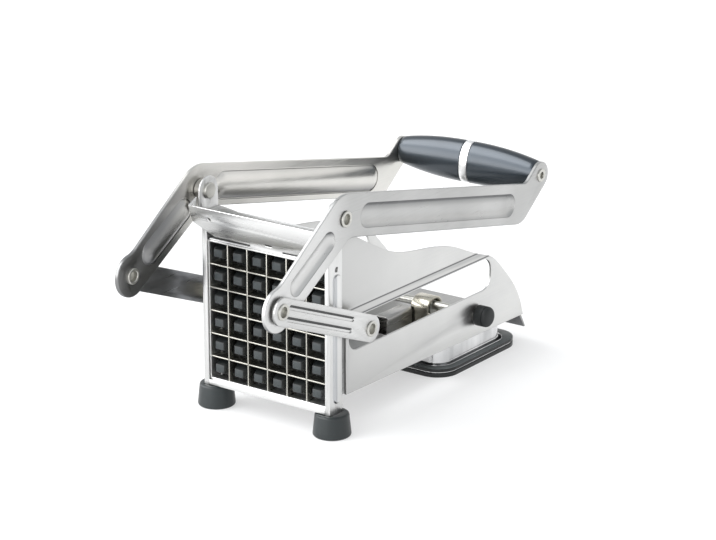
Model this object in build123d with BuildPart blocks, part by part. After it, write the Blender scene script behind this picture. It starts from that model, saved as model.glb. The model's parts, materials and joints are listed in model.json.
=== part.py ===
from build123d import *
import os
from math import asin, atan2, cos, degrees, hypot, radians, sin, sqrt

# French fry cutter: a potato is pushed lengthwise through a square blade grid by a studded
# block.  A double lever with a cross grip drives the block through two side links, and a
# suction cup under the tail holds the cutter on the table.
#
# Frame: +Z up, the blade grid faces -Y, X runs across.  The origin is the middle of the
# footprint at table height.  Side outlines are drawn as (distance behind the grid's front
# edge, height above the table).

# --- Driving dimensions, millimetres and degrees ---

# Blade grid
GRID_CELLS = 6
GRID_PITCH = 11.7
GRID_BASE = 14.8            # lowest cell above the table
BLADE_THICKNESS = 0.7
BLADE_DEPTH = 7.6
BLADE_LAP_GAP = 0.05        # clearance each side in the half-lap slots
FRAME_LAP = 0.3             # frame outer face beyond the cell field
FRAME_WALL = 0.9
FRAME_DEPTH = 8.0

# Insert flange above the grid
FLANGE_SHEET = 0.9
FLANGE_FOOT_DEPTH = 3.0     # foot strip lying on the frame's top edge
FLANGE_FOOT_SPAN = 69.0
FLANGE_TAB_SPAN = 19.2      # between the two slots that part the flange from its foot
FLANGE_SLOT = 0.9
FLANGE_NECK_SPAN = 62.0     # just above the slots
FLANGE_SPAN = 78.0          # across the wing tips
FLANGE_WING_RISE = 9.1      # from the frame's top edge to the wing's lower corner
FLANGE_CREASE_RISE = 10.7
FLANGE_CREASE_REACH = 7.0   # forward of the grid face
FLANGE_TOP_RISE = 18.8
FLANGE_TOP_REACH = 10.0
FLANGE_GUSSET_RISE = 2.9    # of the gusset from each wing tip back to the ear
FLANGE_EYE_OFFSET = 2.5     # oval hole above the tab, right of the middle
FLANGE_EYE_RISE = 3.9
FLANGE_EYE_LENGTH = 4.6
FLANGE_EYE_HEIGHT = 1.3
FLANGE_HOLE_RADIUS = 0.9    # round hole in the left half
FLANGE_HOLE_OFFSET = 28.0
FLANGE_HOLE_RISE = 13.0

# Body sheet
SHEET = 1.2
SIDE_GAP = 0.2              # between the blade frame and the side plates
JOGGLE = 1.9                # the lower side panel stands out by this much
JOGGLE_TOP = 59.3
JOGGLE_BOTTOM = 56.5
PANEL_FRONT = 11.0          # front edge of the lower side panel
PANEL_FRONT_BASE = 18.9     # its bottom edge, front and rear
PANEL_REAR_BASE = 16.1
WINDOW_FRONT = 13.0
WINDOW_REAR = 135.2
WINDOW_BOTTOM = 39.2
WINDOW_TOP = 55.6
WINDOW_RADIUS = 7.0

# Front posts, which end in the pivot ears, and their rubber feet
POST_FRONT = 1.3            # forward of the grid face
POST_FLANGE = 3.0
POST_DEPTH = 10.3
POST_TOP = 91.5             # top of the folded front edge
EAR_WIDTH = 14.2
EAR_ROOT = 96.5
EAR_SWELL = 3.0             # height over which the post widens to the ear
BEAD_HEIGHT = 0.8
BEAD_WIDTH = 5.4
BEAD_BOTTOM = 16.8
BEAD_TOP = 80.3
POST_HOLE_RADIUS = 1.1
POST_HOLE_HEIGHT = 82.7
FOOT_RADIUS = 9.4
FOOT_TOP_RADIUS = 8.2
FOOT_HEIGHT = 11.5
FOOT_FLOOR = 4.0            # rubber under the post tip
FOOT_POCKET_GAP = 0.1
FOOT_EDGE_RADIUS = 1.2

# Floor, cross members
TONGUE_SPAN = 56.0          # chamber floor, narrower than the side panels
DECK_START = 93.2
DECK_TOP = 18.1
DECK_REAR = 165.2
APRON_FOOT = 8.1
APRON_SLOPE = 5.6           # how far the apron leans back
TOP_CROSS_HEIGHT = 13.0
TOP_CROSS_GAP = 1.0         # behind the blade frame

# Lever
LEVER_SWING = 83.0          # degrees from pressed to open
PIVOT_BACK = 3.4
PIVOT_HEIGHT = 108.6
PIN_RADIUS = 3.0
PIN_HEAD_RADIUS = 3.9
PIN_HEAD = 1.2              # the raised inner heads
ROLLED_END = 0.6            # the flat rolled ends outside
PIN_CLEARANCE = 0.06
SPACER_RADIUS = 5.0
FACE_GAP = 0.3              # between faces of moving neighbours
ARM_GAP = 5.3               # side plate to arm
ARM_SHEET = 2.0
LONG_SLOPE = -11.55
LONG_TOP_OFFSET = 12.1      # from the pivot to the long leg's top edge
LONG_WIDTH = 20.9
SHORT_OUTER_SLOPE = 35.3
SHORT_OUTER_OFFSET = 12.5
SHORT_INNER_SLOPE = 31.3
SHORT_INNER_OFFSET = 10.0
CRANK_RADIUS = 59.3         # pivot to link pin
CRANK_ANGLE = 211.06
EYE_RADIUS = 10.4
EYE_BLEND_RADIUS = 12.0     # where the short leg's outer edge runs into the eye
OUTER_CORNER_RADIUS = 18.0
INNER_CORNER_RADIUS = 9.0
GRIP_REACH = 169.08         # from the pivot along the long leg, and across it
GRIP_RISE = 16.18
TONGUE_ANGLE = 37.2
TONGUE_RADIUS = 7.0
TONGUE_TOP_RADIUS = 5.0
TONGUE_BOTTOM_RADIUS = 12.0
PAN_DEPTH = 2.7             # pressed panels: hollow outside, raised inside
PAN_WALL = 1.0
PAN_FLOOR_RADIUS = 1.6      # inside the hollow
PAN_RIM_RADIUS = 0.8        # where the hollow leaves the sheet
PAN_CROWN_RADIUS = 1.9      # round the raised side
LONG_PAN_START = 11.7
LONG_PAN_END = 147.3
LONG_PAN_TOP_MARGIN = 5.0
LONG_PAN_BOTTOM_MARGIN = 4.1
SHORT_PAN_START = 10.5
SHORT_PAN_END = 48.5
SHORT_PAN_WIDTH = 9.6

# Grip
GRIP_TALL = 11.0
GRIP_DEEP = 6.4
GRIP_END_TALL = 7.0
GRIP_END_DEEP = 5.4
GRIP_WAIST = 0.55           # where along each half the section starts to fall away
RING_WIDTH = 4.5
RING_PROUD = 0.2
ROD_RADIUS = 2.5
SCREW_RADIUS = 2.0
SCREW_HEAD_RADIUS = 3.4
SCREW_HEAD = 0.7

# Links and pusher axle
LINK_WIDTH = 13.2
LINK_GAP = 1.1              # between an arm and its link, round the pin's collar
LINK_SHEET = 1.4
LINK_GROOVE_LENGTH = 53.0
LINK_GROOVE_START = 4.0
LINK_GROOVE_SPACING = 5.4
LINK_GROOVE_WIDTH = 2.2
LINK_GROOVE_DEPTH = 0.8
AXLE_HEIGHT = 51.0
AXLE_STANDOFF = 7.92        # behind the pusher plate
SLEEVE_RADIUS = 4.4

# Pusher
STUD_GAP = 0.35             # between a stud's root and the blades
STUD_FACE = 5.2             # width of a stud's front face
STUD_SQUASH = 1.2           # a stud is this much lower than wide
STUD_SETBACK = 0.2          # stud face behind the blade edges when pressed
PLATE_GAP = 0.5             # pusher plate behind the blade frame when pressed
PLATE_THICKNESS = 4.0
PLATE_SIDE_GAP = 1.2
BRACKET_SHEET = 1.5
BRACKET_SPAN = 52.0
BRACKET_HEIGHT = 30.0
LUG_HEIGHT = 15.0
LUG_TAIL = 5.5              # lug beyond the axle's centre
BRACKET_SCREW_SPREAD = 19.0
BRACKET_SCREW_RISE = 10.0
BRACKET_SCREW_RADIUS = 2.8
BRACKET_SCREW_HEAD = 1.4
CLIP_THICKNESS = 0.8

# Suction mount
CUP_SPAN = 63.0
CUP_FRONT = 101.0
CUP_REAR = 159.0
CUP_CORNER = 8.0
CUP_WALL = 1.2
CUP_FLANGE = 2.5
CUP_FLANGE_SHEET = 0.8
RIM_SPAN = 74.4
RIM_FRONT = 95.5
RIM_REAR = 168.0
RIM_CORNER = 12.0
RIM_HEIGHT = 4.5
RIM_WIDTH = 8.5
MEMBRANE_BASE = 2.6
MEMBRANE_RISE = 4.2
MEMBRANE_WALL = 1.3
MEMBRANE_TAPER = 58.0
STEM_RADIUS = 3.0
STEM_BACK = 130.0
STEM_HEIGHT = 3.6
KNOB_BACK = 122.5
KNOB_HEIGHT = 28.0
CRANK_SHAFT_RADIUS = 2.25
CAM_RADIUS = 3.6
CAM_THROW = 1.25
CAM_WIDTH = 8.8
STRAP_CENTRE = 8.0          # the strap stands this far to the right of the middle
STRAP_WIDTH = 10.2
STRAP_SHEET = 1.1
STRAP_GAP = 0.6             # round the strap in its hole
STRAP_ROOM = 0.9            # round the cam inside the strap
KNOB_RADIUS = 5.3
KNOB_GAP = 0.7
KNOB_DOME = 2.4
CLIP_RADIUS = 4.0
HUMP_SPAN = 9.0
HUMP_LENGTH = 21.4
HUMP_GAP = 0.8              # ahead of the strap
HUMP_TOP = 27.5
HUMP_SHEET = 1.0
HUMP_RADIUS = 2.2

# Upper edge of the side plates behind the ears, then their curved tail
CREST = [(32.6, 88.4), (54.8, 78.2), (78.5, 73.9), (104.8, 68.0), (127.5, 58.5)]
TAIL = [(136.0, 55.3), (144.9, 47.9), (157.2, 35.0), (166.4, PANEL_REAR_BASE)]
PANEL_TOP = 99.5            # front top corner of the side plates, behind the ears

# --- Places worked out from the dimensions ---

HANDS = {"left": -1, "right": 1}
EDGE_TOLERANCE = 0.01


def along(point, angle, distance):
    """The point at a distance from another one, in a direction in degrees."""
    return (point[0] + distance * cos(radians(angle)), point[1] + distance * sin(radians(angle)))


def beside(point, angle, distance):
    """The point at a distance to the left of a direction."""
    return along(point, angle + 90, distance)


def meet(point, angle, other, other_angle):
    """Where two lines cross, each given by a point and a direction."""
    run_y = other[0] - point[0]
    run_z = other[1] - point[1]
    turn = sin(radians(other_angle - angle))
    reach = run_y * sin(radians(other_angle)) - run_z * cos(radians(other_angle))
    return along(point, angle, reach / turn)


def middle(point, other):
    """The midpoint of two points."""
    return ((point[0] + other[0]) / 2, (point[1] + other[1]) / 2)


GRID_SPAN = GRID_CELLS * GRID_PITCH
GRID_CENTRE = GRID_BASE + GRID_SPAN / 2
GRID_LINES = [(i - GRID_CELLS / 2) * GRID_PITCH for i in range(1, GRID_CELLS)]
CELL_CENTRES = [(i - (GRID_CELLS - 1) / 2) * GRID_PITCH for i in range(GRID_CELLS)]
FRAME_HALF = GRID_SPAN / 2 + FRAME_LAP
FRAME_BORE = FRAME_HALF - FRAME_WALL
FRAME_TOP = GRID_CENTRE + FRAME_HALF
FRAME_BOTTOM = GRID_CENTRE - FRAME_HALF

PANEL_INNER = FRAME_HALF + SIDE_GAP
PANEL_OUTER = PANEL_INNER + SHEET
LOWER_INNER = PANEL_INNER + JOGGLE
LOWER_OUTER = PANEL_OUTER + JOGGLE
POST_OUTER = PANEL_OUTER + SHEET
POST_REAR = POST_DEPTH - POST_FRONT
POST_MID = POST_REAR / 2
EAR_FRONT = PIVOT_BACK - EAR_WIDTH / 2
EAR_REAR = PIVOT_BACK + EAR_WIDTH / 2

ARM_INNER = PANEL_OUTER + ARM_GAP
ARM_OUTER = ARM_INNER + ARM_SHEET
LINK_INNER = ARM_OUTER + LINK_GAP
LINK_OUTER = LINK_INNER + LINK_SHEET
HEAD_FACE = LINK_OUTER + ROLLED_END

PIVOT = (PIVOT_BACK, PIVOT_HEIGHT)
GRIP = beside(along(PIVOT, LONG_SLOPE, GRIP_REACH), LONG_SLOPE, GRIP_RISE)
CRANK = (KNOB_BACK, KNOB_HEIGHT)
LINK_PIN = along(PIVOT, CRANK_ANGLE, CRANK_RADIUS)
PLATE_FRONT = FRAME_DEPTH + PLATE_GAP
PLATE_REAR = PLATE_FRONT + PLATE_THICKNESS
AXLE = (PLATE_REAR + AXLE_STANDOFF, AXLE_HEIGHT)
LINK_LENGTH = hypot(AXLE[0] - LINK_PIN[0], AXLE[1] - LINK_PIN[1])
LINK_TILT = degrees(atan2(AXLE[1] - LINK_PIN[1], AXLE[0] - LINK_PIN[0]))

# The object reaches from the front link eye to the end of the lever's tongue
GRID_Y = -(LINK_PIN[0] - EYE_RADIUS + GRIP[0] + TONGUE_RADIUS) / 2

PLATE_HALF = PANEL_INNER - PLATE_SIDE_GAP
CUP_TOP = DECK_TOP - SHEET

# Motion at the open end of the swing
OPEN_PIN = along(PIVOT, CRANK_ANGLE + LEVER_SWING, CRANK_RADIUS)
OPEN_AXLE = OPEN_PIN[0] + sqrt(LINK_LENGTH ** 2 - (OPEN_PIN[1] - AXLE_HEIGHT) ** 2)
STROKE = OPEN_AXLE - AXLE[0]
LINK_SWING = degrees(asin((LINK_PIN[1] - AXLE_HEIGHT) / LINK_LENGTH))
LINK_SWING -= degrees(asin((OPEN_PIN[1] - AXLE_HEIGHT) / LINK_LENGTH))


def side(x):
    """A plane across the object at x: local axes run rearward and up."""
    return Plane(origin=(x, GRID_Y, 0), x_dir=(0, 1, 0), z_dir=(1, 0, 0))


def front(back):
    """A plane facing forward: local axes run along X and up, its normal is -Y."""
    return Plane(origin=(0, GRID_Y + back, 0), x_dir=(1, 0, 0), z_dir=(0, -1, 0))


def deck(height):
    """A level plane: local axes run along X and rearward."""
    return Plane(origin=(0, GRID_Y, height), x_dir=(1, 0, 0), z_dir=(0, 0, 1))


def across(edges, x):
    """Those edges that lie in the plane across the object at x."""
    return edges.filter_by_position(Axis.X, x - EDGE_TOLERANCE, x + EDGE_TOLERANCE)


os.makedirs("parts", exist_ok=True)

# --- Blade insert: frame, crossed blades, lifting flange ---

with BuildPart() as blade_frame:
    with BuildSketch(front(0)):
        with Locations((0, GRID_CENTRE)):
            Rectangle(2 * FRAME_HALF, 2 * FRAME_HALF)
            Rectangle(2 * FRAME_BORE, 2 * FRAME_BORE, mode=Mode.SUBTRACT)
    extrude(amount=-FRAME_DEPTH)
blade_frame.part.label = "blade_frame"
export_step(blade_frame.part, "parts/blade_frame.step")

LAP_SLOT = BLADE_THICKNESS + 2 * BLADE_LAP_GAP

with BuildPart() as vertical_blades:
    with Locations(*[(x, GRID_Y + BLADE_DEPTH / 2, GRID_CENTRE) for x in GRID_LINES]):
        Box(BLADE_THICKNESS, BLADE_DEPTH, 2 * FRAME_BORE)
    with Locations(*[(0, GRID_Y + BLADE_DEPTH * 3 / 4, GRID_CENTRE + z) for z in GRID_LINES]):
        Box(2 * FRAME_BORE, BLADE_DEPTH / 2, LAP_SLOT, mode=Mode.SUBTRACT)
vertical_blades.part.label = "vertical_blades"
export_step(vertical_blades.part, "parts/vertical_blades.step")

with BuildPart() as horizontal_blades:
    with Locations(*[(0, GRID_Y + BLADE_DEPTH / 2, GRID_CENTRE + z) for z in GRID_LINES]):
        Box(2 * FRAME_BORE, BLADE_DEPTH, BLADE_THICKNESS)
    with Locations(*[(x, GRID_Y + BLADE_DEPTH / 4, GRID_CENTRE) for x in GRID_LINES]):
        Box(LAP_SLOT, BLADE_DEPTH / 2, 2 * FRAME_BORE, mode=Mode.SUBTRACT)
horizontal_blades.part.label = "horizontal_blades"
export_step(horizontal_blades.part, "parts/horizontal_blades.step")

FLANGE_NECK = FRAME_TOP + FLANGE_SHEET + FLANGE_SLOT
FLANGE_CREASE = FRAME_TOP + FLANGE_CREASE_RISE
FLANGE_TOP = FRAME_TOP + FLANGE_TOP_RISE
FLANGE_HALF_OUTLINE = [
    (FLANGE_FOOT_SPAN / 2, FRAME_TOP),
    (FLANGE_FOOT_SPAN / 2, FRAME_TOP + FLANGE_SHEET),
    (FLANGE_TAB_SPAN / 2, FRAME_TOP + FLANGE_SHEET),
    (FLANGE_TAB_SPAN / 2, FLANGE_NECK),
    (FLANGE_NECK_SPAN / 2, FLANGE_NECK),
    (FLANGE_SPAN / 2, FRAME_TOP + FLANGE_WING_RISE),
    (FLANGE_SPAN / 2, FLANGE_TOP),
]

# The flange's foot lies on the frame's top edge.  Above two slots the sheet leans forward in
# two steps and widens to a wing on each side.
with BuildPart() as insert_flange:
    with BuildSketch(side(-FLANGE_SPAN / 2)):
        with BuildLine():
            Polyline(
                (0, FRAME_TOP),
                (FLANGE_FOOT_DEPTH, FRAME_TOP),
                (FLANGE_FOOT_DEPTH, FRAME_TOP + FLANGE_SHEET),
                (FLANGE_SHEET, FRAME_TOP + FLANGE_SHEET),
                (FLANGE_SHEET, FLANGE_NECK),
                (FLANGE_SHEET - FLANGE_CREASE_REACH, FLANGE_CREASE),
                (FLANGE_SHEET - FLANGE_TOP_REACH, FLANGE_TOP),
                (-FLANGE_TOP_REACH, FLANGE_TOP),
                (-FLANGE_CREASE_REACH, FLANGE_CREASE),
                (0, FLANGE_NECK),
                close=True,
            )
        make_face()
    extrude(amount=FLANGE_SPAN)
    with BuildSketch(front(FLANGE_FOOT_DEPTH)):
        with BuildLine():
            Polyline(
                *FLANGE_HALF_OUTLINE,
                *[(-half, height) for half, height in reversed(FLANGE_HALF_OUTLINE)],
                close=True,
            )
        make_face()
    extrude(amount=FLANGE_FOOT_DEPTH + FLANGE_TOP_REACH, mode=Mode.INTERSECT)
    with BuildSketch(front(FLANGE_FOOT_DEPTH)):
        with Locations((FLANGE_EYE_OFFSET, FRAME_TOP + FLANGE_EYE_RISE)):
            SlotOverall(FLANGE_EYE_LENGTH, FLANGE_EYE_HEIGHT)
        with Locations((-FLANGE_HOLE_OFFSET, FRAME_TOP + FLANGE_HOLE_RISE)):
            Circle(FLANGE_HOLE_RADIUS)
    extrude(amount=FLANGE_FOOT_DEPTH + FLANGE_TOP_REACH, mode=Mode.SUBTRACT)
    for hand in HANDS.values():
        with BuildSketch(side(hand * (FLANGE_SPAN / 2 - FLANGE_SHEET))):
            with BuildLine():
                Polyline(
                    (-FLANGE_TOP_REACH, FLANGE_TOP),
                    (EAR_FRONT - FACE_GAP, FLANGE_TOP + FLANGE_GUSSET_RISE),
                    (FLANGE_SHEET - FLANGE_CREASE_REACH, FLANGE_CREASE),
                    (-FLANGE_CREASE_REACH, FLANGE_CREASE),
                    close=True,
                )
            make_face()
        extrude(amount=hand * FLANGE_SHEET)
insert_flange.part.label = "insert_flange"
export_step(insert_flange.part, "parts/insert_flange.step")

# --- Side plates: pressed sheet with a joggle and a long window ---

for hand_name, hand in HANDS.items():
    with BuildPart() as side_plate:
        with BuildSketch(side(hand * PANEL_INNER)):
            with BuildLine():
                Polyline(
                    TAIL[-1],
                    (PANEL_FRONT, PANEL_FRONT_BASE),
                    (PANEL_FRONT, JOGGLE_TOP + SHEET),
                    (FACE_GAP, JOGGLE_TOP + SHEET),
                    (FACE_GAP, PANEL_TOP),
                    (EAR_REAR, PANEL_TOP),
                )
                Spline((EAR_REAR, PANEL_TOP), *CREST, *TAIL)
            make_face()
        extrude(amount=hand * (SHEET + JOGGLE))
        with BuildSketch(front(0)):
            with BuildLine():
                Polyline(
                    (hand * PANEL_INNER, PANEL_TOP),
                    (hand * PANEL_INNER, JOGGLE_TOP),
                    (hand * LOWER_INNER, JOGGLE_BOTTOM),
                    (hand * LOWER_INNER, 0),
                    (hand * LOWER_OUTER, 0),
                    (hand * LOWER_OUTER, JOGGLE_BOTTOM),
                    (hand * PANEL_OUTER, JOGGLE_TOP),
                    (hand * PANEL_OUTER, PANEL_TOP),
                    close=True,
                )
            make_face()
        extrude(amount=-TAIL[-1][0], mode=Mode.INTERSECT)
        with BuildSketch(side(0)):
            window_mid = middle((WINDOW_FRONT, WINDOW_BOTTOM), (WINDOW_REAR, WINDOW_TOP))
            with Locations(window_mid):
                RectangleRounded(WINDOW_REAR - WINDOW_FRONT, WINDOW_TOP - WINDOW_BOTTOM, WINDOW_RADIUS)
            with Locations(CRANK):
                Circle(CRANK_SHAFT_RADIUS + PIN_CLEARANCE)
        extrude(amount=hand * (LOWER_OUTER + SHEET), mode=Mode.SUBTRACT)
    side_plate.part.label = f"side_plate_{hand_name}"
    export_step(side_plate.part, f"parts/side_plate_{hand_name}.step")

# --- Front posts: folded strips with a pressed bead.  They stand in the rubber feet, and each
# ends in the ear that carries the lever ---

for hand_name, hand in HANDS.items():
    with BuildPart() as front_post:
        with BuildSketch(side(hand * PANEL_OUTER)):
            with BuildLine():
                Polyline(
                    (EAR_FRONT, PIVOT_HEIGHT),
                    (EAR_FRONT, EAR_ROOT),
                    (-POST_FRONT, EAR_ROOT - EAR_SWELL),
                    (-POST_FRONT, FOOT_FLOOR),
                    (POST_REAR, FOOT_FLOOR),
                    (POST_REAR, EAR_ROOT - EAR_SWELL),
                    (EAR_REAR, EAR_ROOT),
                    (EAR_REAR, PIVOT_HEIGHT),
                )
                RadiusArc((EAR_REAR, PIVOT_HEIGHT), (EAR_FRONT, PIVOT_HEIGHT), -EAR_WIDTH / 2)
            make_face()
            with Locations(PIVOT):
                Circle(PIN_RADIUS, mode=Mode.SUBTRACT)
            with Locations((POST_MID, POST_HOLE_HEIGHT)):
                Circle(POST_HOLE_RADIUS, mode=Mode.SUBTRACT)
        extrude(amount=hand * SHEET)
        with BuildSketch(deck(FOOT_FLOOR)):
            with Locations((hand * (POST_OUTER - POST_FLANGE / 2), SHEET / 2 - POST_FRONT)):
                Rectangle(POST_FLANGE, SHEET)
        extrude(amount=POST_TOP - FOOT_FLOOR)
        with BuildSketch(side(hand * POST_OUTER)):
            with Locations((POST_MID, (BEAD_BOTTOM + BEAD_TOP) / 2)):
                SlotOverall(BEAD_TOP - BEAD_BOTTOM, BEAD_WIDTH, rotation=90)
        extrude(amount=hand * BEAD_HEIGHT)
    front_post.part.label = f"front_post_{hand_name}"
    export_step(front_post.part, f"parts/front_post_{hand_name}.step")

FOOT_X = POST_OUTER - POST_FLANGE
FOOT_TAPER = degrees(atan2(FOOT_RADIUS - FOOT_TOP_RADIUS, FOOT_HEIGHT))

for hand_name, hand in HANDS.items():
    with BuildPart() as foot:
        with BuildSketch(deck(0)):
            with Locations((hand * FOOT_X, POST_MID)):
                Circle(FOOT_RADIUS)
        extrude(amount=FOOT_HEIGHT, taper=FOOT_TAPER)
        fillet(foot.edges().filter_by(GeomType.CIRCLE), FOOT_EDGE_RADIUS)
        with BuildSketch(deck(FOOT_FLOOR)):
            with Locations((hand * (POST_OUTER - POST_FLANGE / 2), POST_DEPTH / 2 - POST_FRONT)):
                Rectangle(POST_FLANGE + 2 * FOOT_POCKET_GAP, POST_DEPTH + 2 * FOOT_POCKET_GAP)
        extrude(amount=FOOT_HEIGHT, mode=Mode.SUBTRACT)
    foot.part.label = f"foot_{hand_name}"
    export_step(foot.part, f"parts/foot_{hand_name}.step")

# --- Cross members and floor ---

with BuildPart() as bottom_cross_member:
    with BuildSketch(side(-PANEL_OUTER)):
        with BuildLine():
            Polyline(
                (-POST_FRONT, FOOT_HEIGHT + FACE_GAP),
                (SHEET - POST_FRONT, FOOT_HEIGHT + FACE_GAP),
                (SHEET - POST_FRONT, FRAME_BOTTOM - SHEET),
                (PANEL_FRONT, FRAME_BOTTOM - SHEET),
                (PANEL_FRONT, FRAME_BOTTOM),
                (-POST_FRONT, FRAME_BOTTOM),
                close=True,
            )
        make_face()
    extrude(amount=2 * PANEL_OUTER)
    with BuildSketch(deck(0)):
        for hand in HANDS.values():
            with Locations((hand * PANEL_OUTER, -POST_FRONT)):
                Rectangle(2 * (PANEL_OUTER - FOOT_X), 2 * SHEET)
    extrude(amount=FRAME_TOP, mode=Mode.SUBTRACT)
bottom_cross_member.part.label = "bottom_cross_member"
export_step(bottom_cross_member.part, "parts/bottom_cross_member.step")

TOP_CROSS_FRONT = FRAME_DEPTH + TOP_CROSS_GAP

with BuildPart() as top_cross_member:
    with BuildSketch(front(TOP_CROSS_FRONT)):
        with Locations((0, FRAME_TOP + TOP_CROSS_HEIGHT / 2)):
            Rectangle(2 * PANEL_INNER, TOP_CROSS_HEIGHT)
    extrude(amount=-SHEET)
top_cross_member.part.label = "top_cross_member"
export_step(top_cross_member.part, "parts/top_cross_member.step")

STRAP_HALF_DEPTH = CAM_RADIUS + CAM_THROW + STRAP_ROOM + STRAP_SHEET
STRAP_HOLE_SPAN = STRAP_WIDTH + 2 * STRAP_GAP
STRAP_HOLE_DEPTH = 2 * (STRAP_HALF_DEPTH + STRAP_GAP)

with BuildPart() as floor_plate:
    with BuildSketch(side(-TONGUE_SPAN / 2)):
        with BuildLine():
            Polyline(
                (PANEL_FRONT, FRAME_BOTTOM - SHEET),
                (DECK_START + SHEET, FRAME_BOTTOM - SHEET),
                (DECK_START + SHEET, DECK_TOP),
                (DECK_START, DECK_TOP),
                (DECK_START, FRAME_BOTTOM),
                (PANEL_FRONT, FRAME_BOTTOM),
                close=True,
            )
        make_face()
    extrude(amount=TONGUE_SPAN)
    with BuildSketch(side(-LOWER_INNER)):
        with BuildLine():
            Polyline(
                (DECK_START, DECK_TOP - SHEET),
                (DECK_REAR - SHEET, DECK_TOP - SHEET),
                (DECK_REAR - SHEET + APRON_SLOPE, APRON_FOOT),
                (DECK_REAR + APRON_SLOPE, APRON_FOOT),
                (DECK_REAR, DECK_TOP),
                (DECK_START, DECK_TOP),
                close=True,
            )
        make_face()
    extrude(amount=2 * LOWER_INNER)
    with BuildSketch(deck(DECK_TOP)):
        with Locations((STRAP_CENTRE, KNOB_BACK)):
            Rectangle(STRAP_HOLE_SPAN, STRAP_HOLE_DEPTH)
    extrude(amount=-SHEET, mode=Mode.SUBTRACT)
floor_plate.part.label = "floor_plate"
export_step(floor_plate.part, "parts/floor_plate.step")

# --- Lever: two arms, a cross grip in two halves with a ring, tie rod, screws ---

SPINE = (CRANK_ANGLE - 180)
LONG_BOTTOM_OFFSET = LONG_TOP_OFFSET - LONG_WIDTH
LONG_TOP = beside(PIVOT, LONG_SLOPE, LONG_TOP_OFFSET)
LONG_BOTTOM = beside(PIVOT, LONG_SLOPE, LONG_BOTTOM_OFFSET)
SHORT_OUTER = beside(PIVOT, SHORT_OUTER_SLOPE, SHORT_OUTER_OFFSET)
SHORT_INNER = beside(PIVOT, SHORT_INNER_SLOPE, -SHORT_INNER_OFFSET)
LOBE_TOP = beside(GRIP, TONGUE_ANGLE, TONGUE_RADIUS)
LOBE_BOTTOM = beside(GRIP, TONGUE_ANGLE, -TONGUE_RADIUS)

OUTER_CORNER = meet(LONG_TOP, LONG_SLOPE, SHORT_OUTER, SHORT_OUTER_SLOPE)
INNER_CORNER = meet(LONG_BOTTOM, LONG_SLOPE, SHORT_INNER, SHORT_INNER_SLOPE)
TONGUE_TOP = meet(LONG_TOP, LONG_SLOPE, LOBE_TOP, TONGUE_ANGLE)
TONGUE_BOTTOM = meet(LONG_BOTTOM, LONG_SLOPE, LOBE_BOTTOM, TONGUE_ANGLE)
EYE_OUTER = meet(LINK_PIN, SPINE + 90, SHORT_OUTER, SHORT_OUTER_SLOPE)
EYE_INNER = meet(LINK_PIN, SPINE + 90, SHORT_INNER, SHORT_INNER_SLOPE)

LONG_PAN_WIDTH = LONG_WIDTH - LONG_PAN_TOP_MARGIN - LONG_PAN_BOTTOM_MARGIN
LONG_PAN_RISE = LONG_TOP_OFFSET - LONG_PAN_TOP_MARGIN - LONG_PAN_WIDTH / 2
LONG_PAN_MID = beside(
    along(PIVOT, LONG_SLOPE, (LONG_PAN_START + LONG_PAN_END) / 2), LONG_SLOPE, LONG_PAN_RISE
)
SHORT_PAN_MID = along(PIVOT, CRANK_ANGLE, (SHORT_PAN_START + SHORT_PAN_END) / 2)


def pan_slots(margin):
    """Both pressed panels of an arm as slots, grown by a margin all round."""
    with Locations(LONG_PAN_MID):
        SlotOverall(
            LONG_PAN_END - LONG_PAN_START + 2 * margin, LONG_PAN_WIDTH + 2 * margin, rotation=LONG_SLOPE
        )
    with Locations(SHORT_PAN_MID):
        SlotOverall(
            SHORT_PAN_END - SHORT_PAN_START + 2 * margin, SHORT_PAN_WIDTH + 2 * margin, rotation=SPINE
        )


for hand_name, hand in HANDS.items():
    with BuildPart() as arm:
        with BuildSketch(side(hand * ARM_INNER)) as arm_outline:
            with BuildLine():
                Polyline(
                    EYE_OUTER,
                    OUTER_CORNER,
                    TONGUE_TOP,
                    LOBE_TOP,
                    LOBE_BOTTOM,
                    TONGUE_BOTTOM,
                    INNER_CORNER,
                    EYE_INNER,
                    close=True,
                )
            make_face()
            for corner, radius in (
                (OUTER_CORNER, OUTER_CORNER_RADIUS),
                (TONGUE_TOP, TONGUE_TOP_RADIUS),
                (TONGUE_BOTTOM, TONGUE_BOTTOM_RADIUS),
                (INNER_CORNER, INNER_CORNER_RADIUS),
            ):
                fillet(arm_outline.vertices().sort_by_distance(corner)[0], radius)
            with Locations(LINK_PIN):
                Circle(EYE_RADIUS)
            fillet(arm_outline.vertices().sort_by_distance(EYE_OUTER)[0], EYE_BLEND_RADIUS)
            with Locations(GRIP):
                Circle(TONGUE_RADIUS)
        extrude(amount=hand * ARM_SHEET)
        with BuildSketch(side(hand * ARM_INNER)):
            pan_slots(PAN_WALL)
        extrude(amount=-hand * PAN_DEPTH)
        with BuildSketch(side(hand * ARM_OUTER)):
            pan_slots(0)
        extrude(amount=-hand * PAN_DEPTH, mode=Mode.SUBTRACT)
        fillet(across(arm.edges(Select.LAST), hand * ARM_OUTER), PAN_RIM_RADIUS)
        fillet(across(arm.edges(), hand * (ARM_OUTER - PAN_DEPTH)), PAN_FLOOR_RADIUS)
        fillet(across(arm.edges(), hand * (ARM_INNER - PAN_DEPTH)), PAN_CROWN_RADIUS)
        with BuildSketch(side(hand * ARM_INNER)):
            with Locations(PIVOT):
                Circle(PIN_RADIUS + PIN_CLEARANCE)
            with Locations(LINK_PIN):
                Circle(PIN_RADIUS)
            with Locations(GRIP):
                Circle(SCREW_RADIUS)
        extrude(amount=hand * ARM_SHEET, mode=Mode.SUBTRACT)
    arm.part.label = f"arm_{hand_name}"
    export_step(arm.part, f"parts/arm_{hand_name}.step")

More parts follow.
